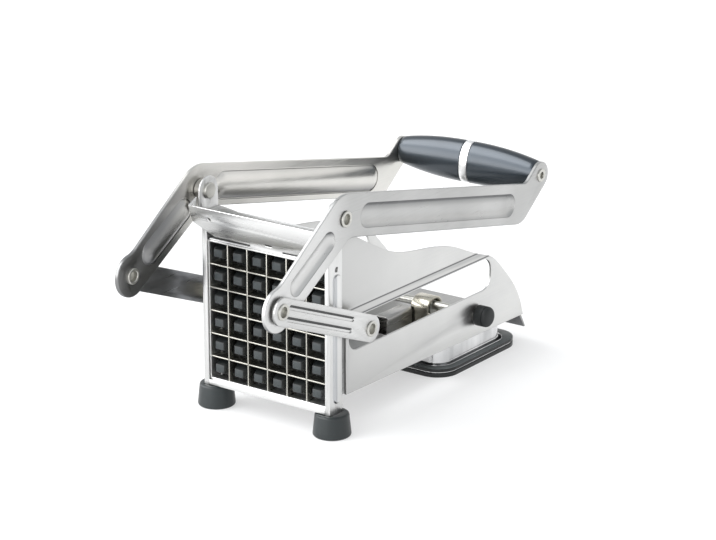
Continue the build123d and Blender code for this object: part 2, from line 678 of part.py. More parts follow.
GRIP_STATIONS = (
    (RING_WIDTH / 2, GRIP_TALL, GRIP_DEEP),
    (ARM_INNER * GRIP_WAIST, (GRIP_TALL * 3 + GRIP_END_TALL) / 4, (GRIP_DEEP * 3 + GRIP_END_DEEP) / 4),
    (ARM_INNER, GRIP_END_TALL, GRIP_END_DEEP),
)

for hand_name, hand in HANDS.items():
    with BuildPart() as grip_half:
        for reach, tall, deep in GRIP_STATIONS:
            with BuildSketch(side(hand * reach)):
                with Locations(GRIP):
                    Ellipse(deep, tall, rotation=LONG_SLOPE)
        loft()
        with BuildSketch(side(0)):
            with Locations(GRIP):
                Circle(ROD_RADIUS)
        extrude(amount=hand * ARM_INNER, mode=Mode.SUBTRACT)
    grip_half.part.label = f"grip_{hand_name}"
    export_step(grip_half.part, f"parts/grip_{hand_name}.step")

with BuildPart() as grip_ring:
    with BuildSketch(side(-RING_WIDTH / 2)):
        with Locations(GRIP):
            Ellipse(GRIP_DEEP + RING_PROUD, GRIP_TALL + RING_PROUD, rotation=LONG_SLOPE)
            Circle(ROD_RADIUS, mode=Mode.SUBTRACT)
    extrude(amount=RING_WIDTH)
grip_ring.part.label = "grip_ring"
export_step(grip_ring.part, "parts/grip_ring.step")

with BuildPart() as grip_rod:
    with BuildSketch(side(-ARM_INNER)):
        with Locations(GRIP):
            Circle(ROD_RADIUS)
    extrude(amount=2 * ARM_INNER)
grip_rod.part.label = "grip_rod"
export_step(grip_rod.part, "parts/grip_rod.step")

with BuildPart() as grip_screws:
    for hand in HANDS.values():
        with BuildSketch(side(hand * ARM_INNER)):
            with Locations(GRIP):
                Circle(SCREW_RADIUS)
        extrude(amount=hand * ARM_SHEET)
        with BuildSketch(side(hand * ARM_OUTER)):
            with Locations(GRIP):
                Circle(SCREW_HEAD_RADIUS)
        extrude(amount=hand * SCREW_HEAD)
grip_screws.part.label = "grip_screws"
export_step(grip_screws.part, "parts/grip_screws.step")

# --- Pivot pins, their spacers, and the arm's half of each link pin ---

with BuildPart() as pivot_pins:
    for hand in HANDS.values():
        with BuildSketch(side(hand * PANEL_OUTER)):
            with Locations(PIVOT):
                Circle(PIN_RADIUS)
        extrude(amount=hand * (ARM_OUTER + FACE_GAP - PANEL_OUTER))
        with BuildSketch(side(hand * PANEL_OUTER)):
            with Locations(PIVOT):
                Circle(PIN_HEAD_RADIUS)
        extrude(amount=-hand * PIN_HEAD)
        with BuildSketch(side(hand * (ARM_OUTER + FACE_GAP))):
            with Locations(PIVOT):
                Circle(PIN_HEAD_RADIUS)
        extrude(amount=hand * ROLLED_END)
pivot_pins.part.label = "pivot_pins"
export_step(pivot_pins.part, "parts/pivot_pins.step")

with BuildPart() as pivot_spacers:
    for hand in HANDS.values():
        with BuildSketch(side(hand * POST_OUTER)):
            with Locations(PIVOT):
                Circle(SPACER_RADIUS)
                Circle(PIN_RADIUS, mode=Mode.SUBTRACT)
        extrude(amount=hand * (ARM_INNER - FACE_GAP - POST_OUTER))
pivot_spacers.part.label = "pivot_spacers"
export_step(pivot_spacers.part, "parts/pivot_spacers.step")

with BuildPart() as arm_pins:
    for hand in HANDS.values():
        with BuildSketch(side(hand * ARM_INNER)):
            with Locations(LINK_PIN):
                Circle(PIN_RADIUS)
        extrude(amount=hand * ARM_SHEET)
        with BuildSketch(side(hand * ARM_INNER)):
            with Locations(LINK_PIN):
                Circle(PIN_HEAD_RADIUS)
        extrude(amount=-hand * PIN_HEAD)
arm_pins.part.label = "arm_pins"
export_step(arm_pins.part, "parts/arm_pins.step")

# --- Links between the lever's short legs and the pusher axle ---

LINK_MID = middle(LINK_PIN, AXLE)
GROOVE_MID = along(LINK_PIN, LINK_TILT, LINK_GROOVE_START + LINK_GROOVE_LENGTH / 2)

for hand_name, hand in HANDS.items():
    with BuildPart() as link:
        with BuildSketch(side(hand * LINK_INNER)):
            with Locations(LINK_MID):
                SlotCenterToCenter(LINK_LENGTH, LINK_WIDTH, rotation=LINK_TILT)
            with Locations(LINK_PIN):
                Circle(PIN_RADIUS, mode=Mode.SUBTRACT)
            with Locations(AXLE):
                Circle(PIN_RADIUS + PIN_CLEARANCE, mode=Mode.SUBTRACT)
        extrude(amount=hand * LINK_SHEET)
        with BuildSketch(side(hand * LINK_OUTER)):
            for offset_side in HANDS.values():
                groove = beside(GROOVE_MID, LINK_TILT, offset_side * LINK_GROOVE_SPACING / 2)
                with Locations(groove):
                    SlotOverall(LINK_GROOVE_LENGTH, LINK_GROOVE_WIDTH, rotation=LINK_TILT)
        extrude(amount=-hand * LINK_GROOVE_DEPTH, mode=Mode.SUBTRACT)
    link.part.label = f"link_{hand_name}"
    export_step(link.part, f"parts/link_{hand_name}.step")

with BuildPart() as link_rivets:
    for hand in HANDS.values():
        with BuildSketch(side(hand * (ARM_OUTER + FACE_GAP))):
            with Locations(LINK_PIN):
                Circle(PIN_HEAD_RADIUS)
        extrude(amount=hand * (LINK_GAP - FACE_GAP))
        with BuildSketch(side(hand * LINK_INNER)):
            with Locations(LINK_PIN):
                Circle(PIN_RADIUS)
        extrude(amount=hand * LINK_SHEET)
        with BuildSketch(side(hand * LINK_OUTER)):
            with Locations(LINK_PIN):
                Circle(PIN_HEAD_RADIUS)
        extrude(amount=hand * ROLLED_END)
link_rivets.part.label = "link_rivets"
export_step(link_rivets.part, "parts/link_rivets.step")

# --- Pusher: studded block, bracket, axle, sleeves, clips and screws ---

STUD_ROOT = GRID_PITCH - BLADE_THICKNESS - 2 * STUD_GAP
STUD_LENGTH = PLATE_FRONT - STUD_SETBACK
STUD_TAPER = degrees(atan2((STUD_ROOT - STUD_FACE) / 2, STUD_LENGTH))

with BuildPart() as pusher_block:
    with BuildSketch(front(PLATE_FRONT)):
        with Locations((0, GRID_CENTRE)):
            Rectangle(2 * PLATE_HALF, 2 * PLATE_HALF)
    extrude(amount=-PLATE_THICKNESS)
    with BuildSketch(front(PLATE_FRONT)):
        with Locations(*[(x, GRID_CENTRE + z) for x in CELL_CENTRES for z in CELL_CENTRES]):
            Rectangle(STUD_ROOT, STUD_ROOT - STUD_SQUASH)
    extrude(amount=STUD_LENGTH, taper=STUD_TAPER)
pusher_block.part.label = "pusher_block"
export_step(pusher_block.part, "parts/pusher_block.step")

LUG_X = BRACKET_SPAN / 2
LUG_LENGTH = AXLE[0] + LUG_TAIL - PLATE_REAR

with BuildPart() as pusher_bracket:
    with BuildSketch(front(PLATE_REAR)):
        with Locations((0, AXLE_HEIGHT)):
            Rectangle(BRACKET_SPAN, BRACKET_HEIGHT)
    extrude(amount=-BRACKET_SHEET)
    with BuildSketch(front(PLATE_REAR)):
        for hand in HANDS.values():
            with Locations((hand * (LUG_X - BRACKET_SHEET / 2), AXLE_HEIGHT)):
                Rectangle(BRACKET_SHEET, LUG_HEIGHT)
    extrude(amount=-LUG_LENGTH)
    with BuildSketch(side(-LUG_X)):
        with Locations(AXLE):
            Circle(PIN_RADIUS)
    extrude(amount=BRACKET_SPAN, mode=Mode.SUBTRACT)
pusher_bracket.part.label = "pusher_bracket"
export_step(pusher_bracket.part, "parts/pusher_bracket.step")

with BuildPart() as pusher_axle:
    with BuildSketch(side(-LINK_OUTER)):
        with Locations(AXLE):
            Circle(PIN_RADIUS)
    extrude(amount=2 * LINK_OUTER)
    for hand in HANDS.values():
        with BuildSketch(side(hand * (LINK_OUTER + FACE_GAP))):
            with Locations(AXLE):
                Circle(PIN_HEAD_RADIUS)
        extrude(amount=hand * (ROLLED_END - FACE_GAP))
        with BuildSketch(side(hand * LINK_OUTER)):
            with Locations(AXLE):
                Circle(PIN_RADIUS)
        extrude(amount=hand * FACE_GAP)
pusher_axle.part.label = "pusher_axle"
export_step(pusher_axle.part, "parts/pusher_axle.step")

with BuildPart() as axle_sleeves:
    for hand in HANDS.values():
        with BuildSketch(side(hand * LUG_X)):
            with Locations(AXLE):
                Circle(SLEEVE_RADIUS)
                Circle(PIN_RADIUS, mode=Mode.SUBTRACT)
        extrude(amount=hand * (LINK_INNER - FACE_GAP - LUG_X))
axle_sleeves.part.label = "axle_sleeves"
export_step(axle_sleeves.part, "parts/axle_sleeves.step")

with BuildPart() as axle_clips:
    for hand in HANDS.values():
        with BuildSketch(side(hand * (LUG_X - BRACKET_SHEET))):
            with Locations(AXLE):
                Circle(SLEEVE_RADIUS)
                Circle(PIN_RADIUS, mode=Mode.SUBTRACT)
        extrude(amount=-hand * CLIP_THICKNESS)
axle_clips.part.label = "axle_clips"
export_step(axle_clips.part, "parts/axle_clips.step")

with BuildPart() as bracket_screws:
    with BuildSketch(front(PLATE_REAR + BRACKET_SHEET)):
        with Locations((0, AXLE_HEIGHT)):
            with GridLocations(2 * BRACKET_SCREW_SPREAD, 2 * BRACKET_SCREW_RISE, 2, 2):
                Circle(BRACKET_SCREW_RADIUS)
    extrude(amount=-BRACKET_SCREW_HEAD)
bracket_screws.part.label = "bracket_screws"
export_step(bracket_screws.part, "parts/bracket_screws.step")

# --- Suction mount under the tail ---

CUP_MID = (0, (CUP_FRONT + CUP_REAR) / 2)
CUP_DEPTH = CUP_REAR - CUP_FRONT
RIM_MID = (0, (RIM_FRONT + RIM_REAR) / 2)
RIM_DEPTH = RIM_REAR - RIM_FRONT
RIM_BORE_SPAN = RIM_SPAN - 2 * RIM_WIDTH
RIM_BORE_DEPTH = RIM_DEPTH - 2 * RIM_WIDTH

with BuildPart() as suction_rim:
    with BuildSketch(deck(0)):
        with Locations(RIM_MID):
            RectangleRounded(RIM_SPAN, RIM_DEPTH, RIM_CORNER)
            RectangleRounded(RIM_BORE_SPAN, RIM_BORE_DEPTH, RIM_CORNER - RIM_WIDTH / 2, mode=Mode.SUBTRACT)
    extrude(amount=RIM_HEIGHT)
suction_rim.part.label = "suction_rim"
export_step(suction_rim.part, "parts/suction_rim.step")

with BuildPart() as suction_cup:
    with BuildSketch(deck(RIM_HEIGHT)):
        with Locations(CUP_MID):
            RectangleRounded(CUP_SPAN, CUP_DEPTH, CUP_CORNER)
    extrude(amount=CUP_TOP - RIM_HEIGHT)
    with BuildSketch(deck(RIM_HEIGHT)):
        with Locations(CUP_MID):
            RectangleRounded(CUP_SPAN + 2 * CUP_FLANGE, CUP_DEPTH + 2 * CUP_FLANGE, CUP_CORNER + CUP_FLANGE)
    extrude(amount=CUP_FLANGE_SHEET)
    with BuildSketch(deck(RIM_HEIGHT)):
        with Locations(CUP_MID):
            RectangleRounded(CUP_SPAN - 2 * CUP_WALL, CUP_DEPTH - 2 * CUP_WALL, CUP_CORNER - CUP_WALL)
    extrude(amount=CUP_TOP - CUP_WALL - RIM_HEIGHT, mode=Mode.SUBTRACT)
    with BuildSketch(deck(CUP_TOP)):
        with Locations((STRAP_CENTRE, KNOB_BACK)):
            Rectangle(STRAP_HOLE_SPAN, STRAP_HOLE_DEPTH)
    extrude(amount=-CUP_WALL, mode=Mode.SUBTRACT)
suction_cup.part.label = "suction_cup"
export_step(suction_cup.part, "parts/suction_cup.step")

with BuildPart() as membrane:
    with BuildSketch(deck(MEMBRANE_BASE)):
        with Locations(RIM_MID):
            RectangleRounded(RIM_BORE_SPAN, RIM_BORE_DEPTH, RIM_CORNER - RIM_WIDTH / 2)
    extrude(amount=MEMBRANE_RISE, taper=MEMBRANE_TAPER)
    with BuildSketch(deck(MEMBRANE_BASE)):
        with Locations(RIM_MID):
            RectangleRounded(
                RIM_BORE_SPAN - 2 * MEMBRANE_WALL,
                RIM_BORE_DEPTH - 2 * MEMBRANE_WALL,
                RIM_CORNER - RIM_WIDTH / 2 - MEMBRANE_WALL,
            )
    extrude(amount=MEMBRANE_RISE - MEMBRANE_WALL, taper=MEMBRANE_TAPER, mode=Mode.SUBTRACT)
membrane.part.label = "membrane"
export_step(membrane.part, "parts/membrane.step")

MEMBRANE_TOP = MEMBRANE_BASE + MEMBRANE_RISE
STRAP_FOOT = MEMBRANE_TOP + STEM_HEIGHT
CAM_CENTRE = (KNOB_BACK, KNOB_HEIGHT - CAM_THROW)
STRAP_TOP = CAM_CENTRE[1] + CAM_RADIUS + STRAP_ROOM + STRAP_SHEET
STRAP_LEFT = STRAP_CENTRE - STRAP_WIDTH / 2
STRAP_RIGHT = STRAP_LEFT + STRAP_WIDTH
STEM_REAR = STEM_BACK + STEM_RADIUS

with BuildPart() as membrane_stem:
    with BuildSketch(deck(MEMBRANE_TOP)):
        with Locations((0, STEM_BACK)):
            Circle(STEM_RADIUS)
    extrude(amount=STEM_HEIGHT)
membrane_stem.part.label = "membrane_stem"
export_step(membrane_stem.part, "parts/membrane_stem.step")

# The strap is a closed stirrup: it arches over the cam and its foot reaches to the stem
with BuildPart() as lift_strap:
    with BuildSketch(side(STRAP_LEFT)):
        with Locations((KNOB_BACK, (STRAP_FOOT + STRAP_TOP) / 2)):
            RectangleRounded(2 * STRAP_HALF_DEPTH, STRAP_TOP - STRAP_FOOT, STRAP_HALF_DEPTH - STRAP_SHEET)
            Rectangle(
                2 * (STRAP_HALF_DEPTH - STRAP_SHEET),
                STRAP_TOP - STRAP_FOOT - 2 * STRAP_HALF_DEPTH,
                mode=Mode.SUBTRACT,
            )
        with Locations((KNOB_BACK, STRAP_TOP - STRAP_HALF_DEPTH)):
            Circle(STRAP_HALF_DEPTH - STRAP_SHEET, mode=Mode.SUBTRACT)
        with Locations((KNOB_BACK, STRAP_FOOT + STRAP_HALF_DEPTH)):
            Circle(STRAP_HALF_DEPTH - STRAP_SHEET, mode=Mode.SUBTRACT)
    extrude(amount=STRAP_WIDTH)
    with BuildSketch(deck(STRAP_FOOT)):
        with Locations(middle((-STEM_RADIUS, KNOB_BACK), (STRAP_RIGHT, STEM_REAR))):
            Rectangle(STRAP_RIGHT + STEM_RADIUS, STEM_REAR - KNOB_BACK)
    extrude(amount=STRAP_SHEET)
lift_strap.part.label = "lift_strap"
export_step(lift_strap.part, "parts/lift_strap.step")

with BuildPart() as crank_shaft:
    with BuildSketch(side(-LOWER_OUTER - KNOB_GAP - CLIP_THICKNESS)):
        with Locations(CRANK):
            Circle(CRANK_SHAFT_RADIUS)
    extrude(amount=2 * (LOWER_OUTER + KNOB_GAP) + CLIP_THICKNESS)
    with BuildSketch(side(-LOWER_OUTER - KNOB_GAP)):
        with Locations(CRANK):
            Circle(CLIP_RADIUS)
    extrude(amount=-CLIP_THICKNESS)
crank_shaft.part.label = "crank_shaft"
export_step(crank_shaft.part, "parts/crank_shaft.step")

with BuildPart() as crank_cam:
    with BuildSketch(side(STRAP_CENTRE - CAM_WIDTH / 2)):
        with Locations(CAM_CENTRE):
            Circle(CAM_RADIUS)
        with Locations(CRANK):
            Circle(CRANK_SHAFT_RADIUS, mode=Mode.SUBTRACT)
    extrude(amount=CAM_WIDTH)
crank_cam.part.label = "crank_cam"
export_step(crank_cam.part, "parts/crank_cam.step")

with BuildPart() as crank_knob:
    with BuildSketch(side(LOWER_OUTER + KNOB_GAP)):
        with Locations(CRANK):
            Circle(KNOB_RADIUS)
    extrude(amount=HEAD_FACE - LOWER_OUTER - KNOB_GAP)
    fillet(crank_knob.edges().filter_by(GeomType.CIRCLE).sort_by(Axis.X)[-1], KNOB_DOME)
crank_knob.part.label = "crank_knob"
export_step(crank_knob.part, "parts/crank_knob.step")

HUMP_REAR = KNOB_BACK - STRAP_HALF_DEPTH - HUMP_GAP
HUMP_FRONT = HUMP_REAR - HUMP_LENGTH

with BuildPart() as hump_channel:
    with BuildSketch(front(HUMP_FRONT)):
        with Locations((0, DECK_TOP)):
            Rectangle(HUMP_SPAN, 2 * (HUMP_TOP - DECK_TOP))
            Rectangle(
                HUMP_SPAN - 2 * HUMP_SHEET, 2 * (HUMP_TOP - DECK_TOP - HUMP_SHEET), mode=Mode.SUBTRACT
            )
    extrude(amount=HUMP_FRONT - HUMP_REAR)
    fillet(hump_channel.edges().filter_by(Axis.Y).group_by(Axis.Z)[-1], HUMP_RADIUS)
    split(bisect_by=Plane.XY.offset(DECK_TOP), keep=Keep.TOP)
hump_channel.part.label = "hump_channel"
export_step(hump_channel.part, "parts/hump_channel.step")

print("grid front face at y =", round(GRID_Y, 3))
print("lever pivot (y, z) =", round(GRID_Y + PIVOT[0], 3), PIVOT[1])
print("pusher axle (y, z) =", round(GRID_Y + AXLE[0], 3), AXLE[1])
print("link pin (y, z) =", round(GRID_Y + LINK_PIN[0], 3), round(LINK_PIN[1], 3))
print("crank shaft (y, z) =", round(GRID_Y + CRANK[0], 3), CRANK[1])
print("pusher stroke =", round(STROKE, 3))
print("link swing =", round(LINK_SWING, 3))
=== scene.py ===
"""French fry cutter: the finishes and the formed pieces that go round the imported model."""

import json
import logging
from collections.abc import Callable, Iterator, Sequence
from contextlib import contextmanager
from dataclasses import dataclass, field
from enum import Enum
from functools import cache
from math import cos, hypot, pi, radians, sin
from typing import ClassVar

import bmesh
import bpy
from mathutils import Matrix, Vector


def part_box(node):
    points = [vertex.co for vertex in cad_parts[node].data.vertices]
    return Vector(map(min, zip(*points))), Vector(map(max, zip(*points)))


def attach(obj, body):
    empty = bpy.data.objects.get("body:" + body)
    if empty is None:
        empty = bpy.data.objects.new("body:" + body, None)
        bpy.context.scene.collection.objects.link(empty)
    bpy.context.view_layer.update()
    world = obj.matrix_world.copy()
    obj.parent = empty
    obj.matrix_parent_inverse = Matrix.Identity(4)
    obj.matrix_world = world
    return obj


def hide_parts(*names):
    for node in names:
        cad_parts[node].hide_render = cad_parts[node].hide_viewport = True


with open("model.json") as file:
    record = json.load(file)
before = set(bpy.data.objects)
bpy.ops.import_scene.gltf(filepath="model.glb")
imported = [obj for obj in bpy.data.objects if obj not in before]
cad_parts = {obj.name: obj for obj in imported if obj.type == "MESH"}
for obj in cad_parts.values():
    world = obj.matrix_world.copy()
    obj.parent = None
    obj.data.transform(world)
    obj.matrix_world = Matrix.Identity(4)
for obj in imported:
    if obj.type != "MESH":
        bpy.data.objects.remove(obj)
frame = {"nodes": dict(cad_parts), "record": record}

log = logging.getLogger("fry_cutter")

Piece = bpy.types.Object
Tree = bpy.types.NodeTree
Socket = bpy.types.NodeSocket
Patterns = tuple[Socket, Socket, Socket]  # of tint, gloss and height
Pair = tuple[float, float]
Triple = tuple[float, float, float]
Colour = tuple[float, float, float, float]
FaceTest = Callable[[Vector, Vector], bool]  # is given a face's middle and the way it looks

MM = 0.001
WELD = 0.002 * MM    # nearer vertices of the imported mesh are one
FLAT_BELOW = 0.5     # faces that turn by fewer degrees are one face
SMOOTH_BELOW = 40.0  # edges that turn by fewer degrees are shaded smooth
ROUND_SIDES = 48     # faces round a turned piece
LIP_STEPS = 3        # faces round the lip of a rivet
DOME_STEPS = 7       # rings across the cap of the knob
SQUARELY = 0.9       # least share of its normal along an axis, if a face looks along it

# Detail of the noise patterns, a colour mix's two inputs and its output, and a range's ends
COARSE, FINE, MOTTLED = 2.0, 3.0, 4.0
MIX_LOW, MIX_HIGH, MIXED = 6, 7, 2
RANGE = ("From Min", "From Max", "To Min", "To Max")

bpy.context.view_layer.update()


class Hand(Enum):
    """The two sides of the cutter, seen by someone who faces its tail."""

    LEFT = -1
    RIGHT = 1

    @property
    def word(self) -> str:
        """The side as node names spell it."""
        return self.name.lower()


class Grain(Enum):
    """The direction in which a sheet was brushed."""

    ACROSS = (1, 0, 0)
    REARWARD = (0, 1, 0)
    UPRIGHT = (0, 0, 1)


# --- Selecting and shaping ---


def deselect() -> None:
    """Leaves nothing selected, so that the next operator works on its own piece alone."""
    for obj in bpy.context.selected_objects:
        obj.select_set(False)


def take(obj: Piece) -> None:
    """Makes one object the only selected one and the active one.

    Args:
        obj: The object.
    """
    deselect()
    obj.select_set(True)
    bpy.context.view_layer.objects.active = obj


@contextmanager
def editing(obj: Piece) -> Iterator[None]:
    """Opens an object in edit mode with everything selected, and closes it again.

    Args:
        obj: The mesh object to work on.
    """
    take(obj)
    bpy.ops.object.mode_set(mode="EDIT")
    bpy.ops.mesh.select_all(action="SELECT")
    yield
    bpy.ops.object.mode_set(mode="OBJECT")


def pick_faces(obj: Piece, test: FaceTest) -> None:
    """Selects faces by place and normal, in edit mode.

    Args:
        obj: The object that is open in edit mode.
        test: Says whether a face is wanted.
    """
    bpy.ops.mesh.select_mode(type="FACE")
    bpy.ops.mesh.select_all(action="DESELECT")
    shape = bmesh.from_edit_mesh(obj.data)
    for face in shape.faces:
        face.select_set(test(face.calc_center_median(), face.normal))
    bmesh.update_edit_mesh(obj.data)


def newest(name: str) -> Piece:
    """Names the primitive that was just added and settles its place into its mesh.

    Args:
        name: Its name.

    Returns:
        The primitive.
    """
    obj = bpy.context.active_object
    obj.name = name
    obj.data.name = name
    bpy.ops.object.transform_apply(location=True, rotation=True, scale=True)
    return obj


def break_edges(obj: Piece, width: float, steps: int = 2) -> None:
    """Rounds the sharp edges of a piece and shades it smooth.

    Args:
        obj: The piece.
        width: Width of the rounding, in metres.
        steps: Faces across each rounding.
    """
    take(obj)
    rounding = obj.modifiers.new("rounding", "BEVEL")
    rounding.width = width
    rounding.segments = steps
    rounding.limit_method = "ANGLE"
    rounding.angle_limit = radians(SMOOTH_BELOW)
    rounding.use_clamp_overlap = False
    bpy.ops.object.modifier_apply(modifier=rounding.name)
    bpy.ops.object.shade_smooth_by_angle(angle=radians(SMOOTH_BELOW))


def copy_node(node: str, name: str) -> Piece:
    """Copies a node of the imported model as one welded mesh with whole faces.

    Args:
        node: The node to copy.
        name: The new piece's name.

    Returns:
        The copy, which isn't smoothed yet.
    """
    copy = bpy.data.objects.new(name, frame["nodes"][node].data.copy())
    copy.data.name = name
    copy.data.materials.clear()
    bpy.context.scene.collection.objects.link(copy)
    take(copy)
    bpy.ops.mesh.customdata_custom_splitnormals_clear()
    with editing(copy):
        bpy.ops.mesh.remove_doubles(threshold=WELD)
        bpy.ops.mesh.dissolve_limited(angle_limit=radians(FLAT_BELOW))
    return copy


@dataclass(frozen=True)
class Station:
    """A cross-section of a turned piece, in millimetres: its place along X and its half sizes."""

    x: float
    depth: float
    height: float


def rings(*stations: Pair) -> list[Station]:
    """Round stations from pairs of place and radius."""
    return [Station(x, radius, radius) for x, radius in stations]


def turned(name: str, centre: Pair, stations: Sequence[Station], tilt: float = 0.0) -> Piece:
    """Turns up a closed piece about an axis along X, one extrusion for each station.

    Args:
        name: The piece's name.
        centre: Where the axis runs, rearward and up, in metres.
        stations: The cross-sections in order. A repeated place makes a step.
        tilt: How far the sections lean, in degrees.

    Returns:
        The closed shape, shaded smooth except at its sharp edges.
    """
    first = stations[0]
    start = Vector((first.x * MM, *centre))
    deselect()
    bpy.ops.mesh.primitive_circle_add(
        vertices=ROUND_SIDES,
        radius=first.height * MM,
        fill_type="NGON",
        location=start,
        rotation=(0, pi / 2, 0),
    )
    obj = newest(name)
    with editing(obj):
        bpy.ops.transform.resize(value=(1, first.depth / first.height, 1), center_override=start)
        for last, here in zip(stations, stations[1:]):
            step = ((here.x - last.x) * MM, 0, 0)
            bpy.ops.mesh.extrude_region_move(TRANSFORM_OT_translate={"value": step})
            bpy.ops.transform.resize(
                value=(1, here.depth / last.depth, here.height / last.height),
                center_override=(here.x * MM, *centre),
            )
        bpy.ops.mesh.select_all(action="SELECT")
        if tilt:
            bpy.ops.transform.rotate(value=radians(tilt), orient_axis="X", center_override=start)
        bpy.ops.mesh.normals_make_consistent(inside=False)
    take(obj)
    bpy.ops.object.shade_smooth_by_angle(angle=radians(SMOOTH_BELOW))
    return obj


# --- Finishes ---


def linear(code: str) -> Colour:
    """A linear colour from an sRGB hex code such as "#c8c8ca"."""
    parts = [int(code[i : i + 2], 16) / 255 for i in (1, 3, 5)]
    return (*(s / 12.92 if s <= 0.04045 else ((s + 0.055) / 1.055) ** 2.4 for s in parts), 1.0)


def add_node(
    tree: Tree, kind: str, inputs: dict[str | int, object], **settings: object
) -> bpy.types.Node:
    """Adds a node with its settings and inputs.

    Args:
        tree: The node tree.
        kind: The node's type name.
        inputs: For each input, a value or the output socket that feeds it.
        **settings: The node's properties.

    Returns:
        The new node.
    """
    node = tree.nodes.new(kind)
    for key, value in settings.items():
        setattr(node, key, value)
    for key, value in inputs.items():
        if isinstance(value, Socket):
            tree.links.new(value, node.inputs[key])
        else:
            node.inputs[key].default_value = value
    return node


def blended(
    tree: Tree, measure: Socket, reach: Pair, low: Colour | Socket, high: Colour | Socket
) -> Socket:
    """Goes softly from one colour to another as a measure crosses a range.

    Args:
        tree: The node tree.
        measure: The value that decides.
        reach: Where the first colour ends, and where the second one is full.
        low: The colour below the range.
        high: The colour above it.

    Returns:
        The blended colour.
    """
    span = {"Value": measure, **dict(zip(RANGE, reach))}
    share = add_node(tree, "ShaderNodeMapRange", span, interpolation_type="SMOOTHSTEP")
    colours = {"Factor": share.outputs[0], MIX_LOW: low, MIX_HIGH: high}
    return add_node(tree, "ShaderNodeMix", colours, data_type="RGBA").outputs[MIXED]


def new_material(
    name: str, shader_values: dict[str, object]
) -> tuple[bpy.types.Material, bpy.types.Node]:
    """Makes a node material.

    Args:
        name: Its name.
        shader_values: Uniform values for the shader's own sockets.

    Returns:
        The material and its shader.
    """
    material = bpy.data.materials.new(name)
    material.use_nodes = True
    shader = material.node_tree.nodes["Principled BSDF"]
    for key, value in shader_values.items():
        shader.inputs[key].default_value = value
    return material, shader


@dataclass(frozen=True)
class Finish:
    """A procedural finish, whose patterns run between two tones and two degrees of roughness."""

    name: str
    tone: str        # at the light end of the tint pattern
    shade: str       # at its dark end
    roughness: Pair  # at the low end of the gloss pattern and at its high end
    relief_mm: float = field(default=0.02, kw_only=True)
    aside: str = field(default="", kw_only=True)  # painted tone of the faces turned aside, if it differs: darker as painted shade, lighter as painted light

    BUMP: ClassVar[float] = 0.5                  # strength of the relief
    GLOSS_SPAN: ClassVar[Pair] = (0.3, 0.7)      # where the gloss pattern's ends lie
    ASIDE_AXIS: ClassVar[str] = "Z"              # faces turned aside look down this axis
    ASIDE_SPAN: ClassVar[Pair] = (-0.75, -0.12)  # their normal's share of it, full and faded out

    def shader_values(self) -> dict[str, object]:
        """Uniform values for the shader: here a bare metal's."""
        return {"Metallic": 1.0}

    def patterns(self, tree: Tree, place: Socket) -> Patterns:
        """Draws the patterns of tint, gloss and height; each kind of finish has its own."""
        raise NotImplementedError

    def coloured(self, tree: Tree, place: Socket, tint: Socket) -> Socket:
        """Paints the faces that are turned aside in their own tone, if the finish has one: painted
        shade where it is darker, painted light where it is lighter.

        Args:
            tree: The node tree.
            place: Object coordinates, for the marks of a special finish.
            tint: The colour so far.

        Returns:
            The colour with those faces.
        """
        if not self.aside:
            return tint
        normal = add_node(tree, "ShaderNodeTexCoord", {}).outputs["Normal"]
        share = add_node(tree, "ShaderNodeSeparateXYZ", {0: normal}).outputs[self.ASIDE_AXIS]
        return blended(tree, share, self.ASIDE_SPAN, linear(self.aside), tint)

    @cache
    def material(self) -> bpy.types.Material:
        """Builds the material, once for all the pieces that have it.

        Returns:
            The material, drawn on the object's own coordinates.
        """
        material, shader = new_material(self.name, self.shader_values())
        tree = material.node_tree
        place = add_node(tree, "ShaderNodeTexCoord", {}).outputs["Object"]
        share, gloss, height = self.patterns(tree, place)
        tones = {"Factor": share, MIX_LOW: linear(self.shade), MIX_HIGH: linear(self.tone)}
        tint = add_node(tree, "ShaderNodeMix", tones, data_type="RGBA").outputs[MIXED]
        span = {"Value": gloss, **dict(zip(RANGE, self.GLOSS_SPAN + self.roughness))}
        rough = add_node(tree, "ShaderNodeMapRange", span)
        lift = {"Strength": self.BUMP, "Distance": self.relief_mm * MM, "Height": height}
        relief = add_node(tree, "ShaderNodeBump", lift)
        tree.links.new(self.coloured(tree, place, tint), shader.inputs["Base Color"])
        tree.links.new(rough.outputs[0], shader.inputs["Roughness"])
        tree.links.new(relief.outputs[0], shader.inputs["Normal"])
        return material


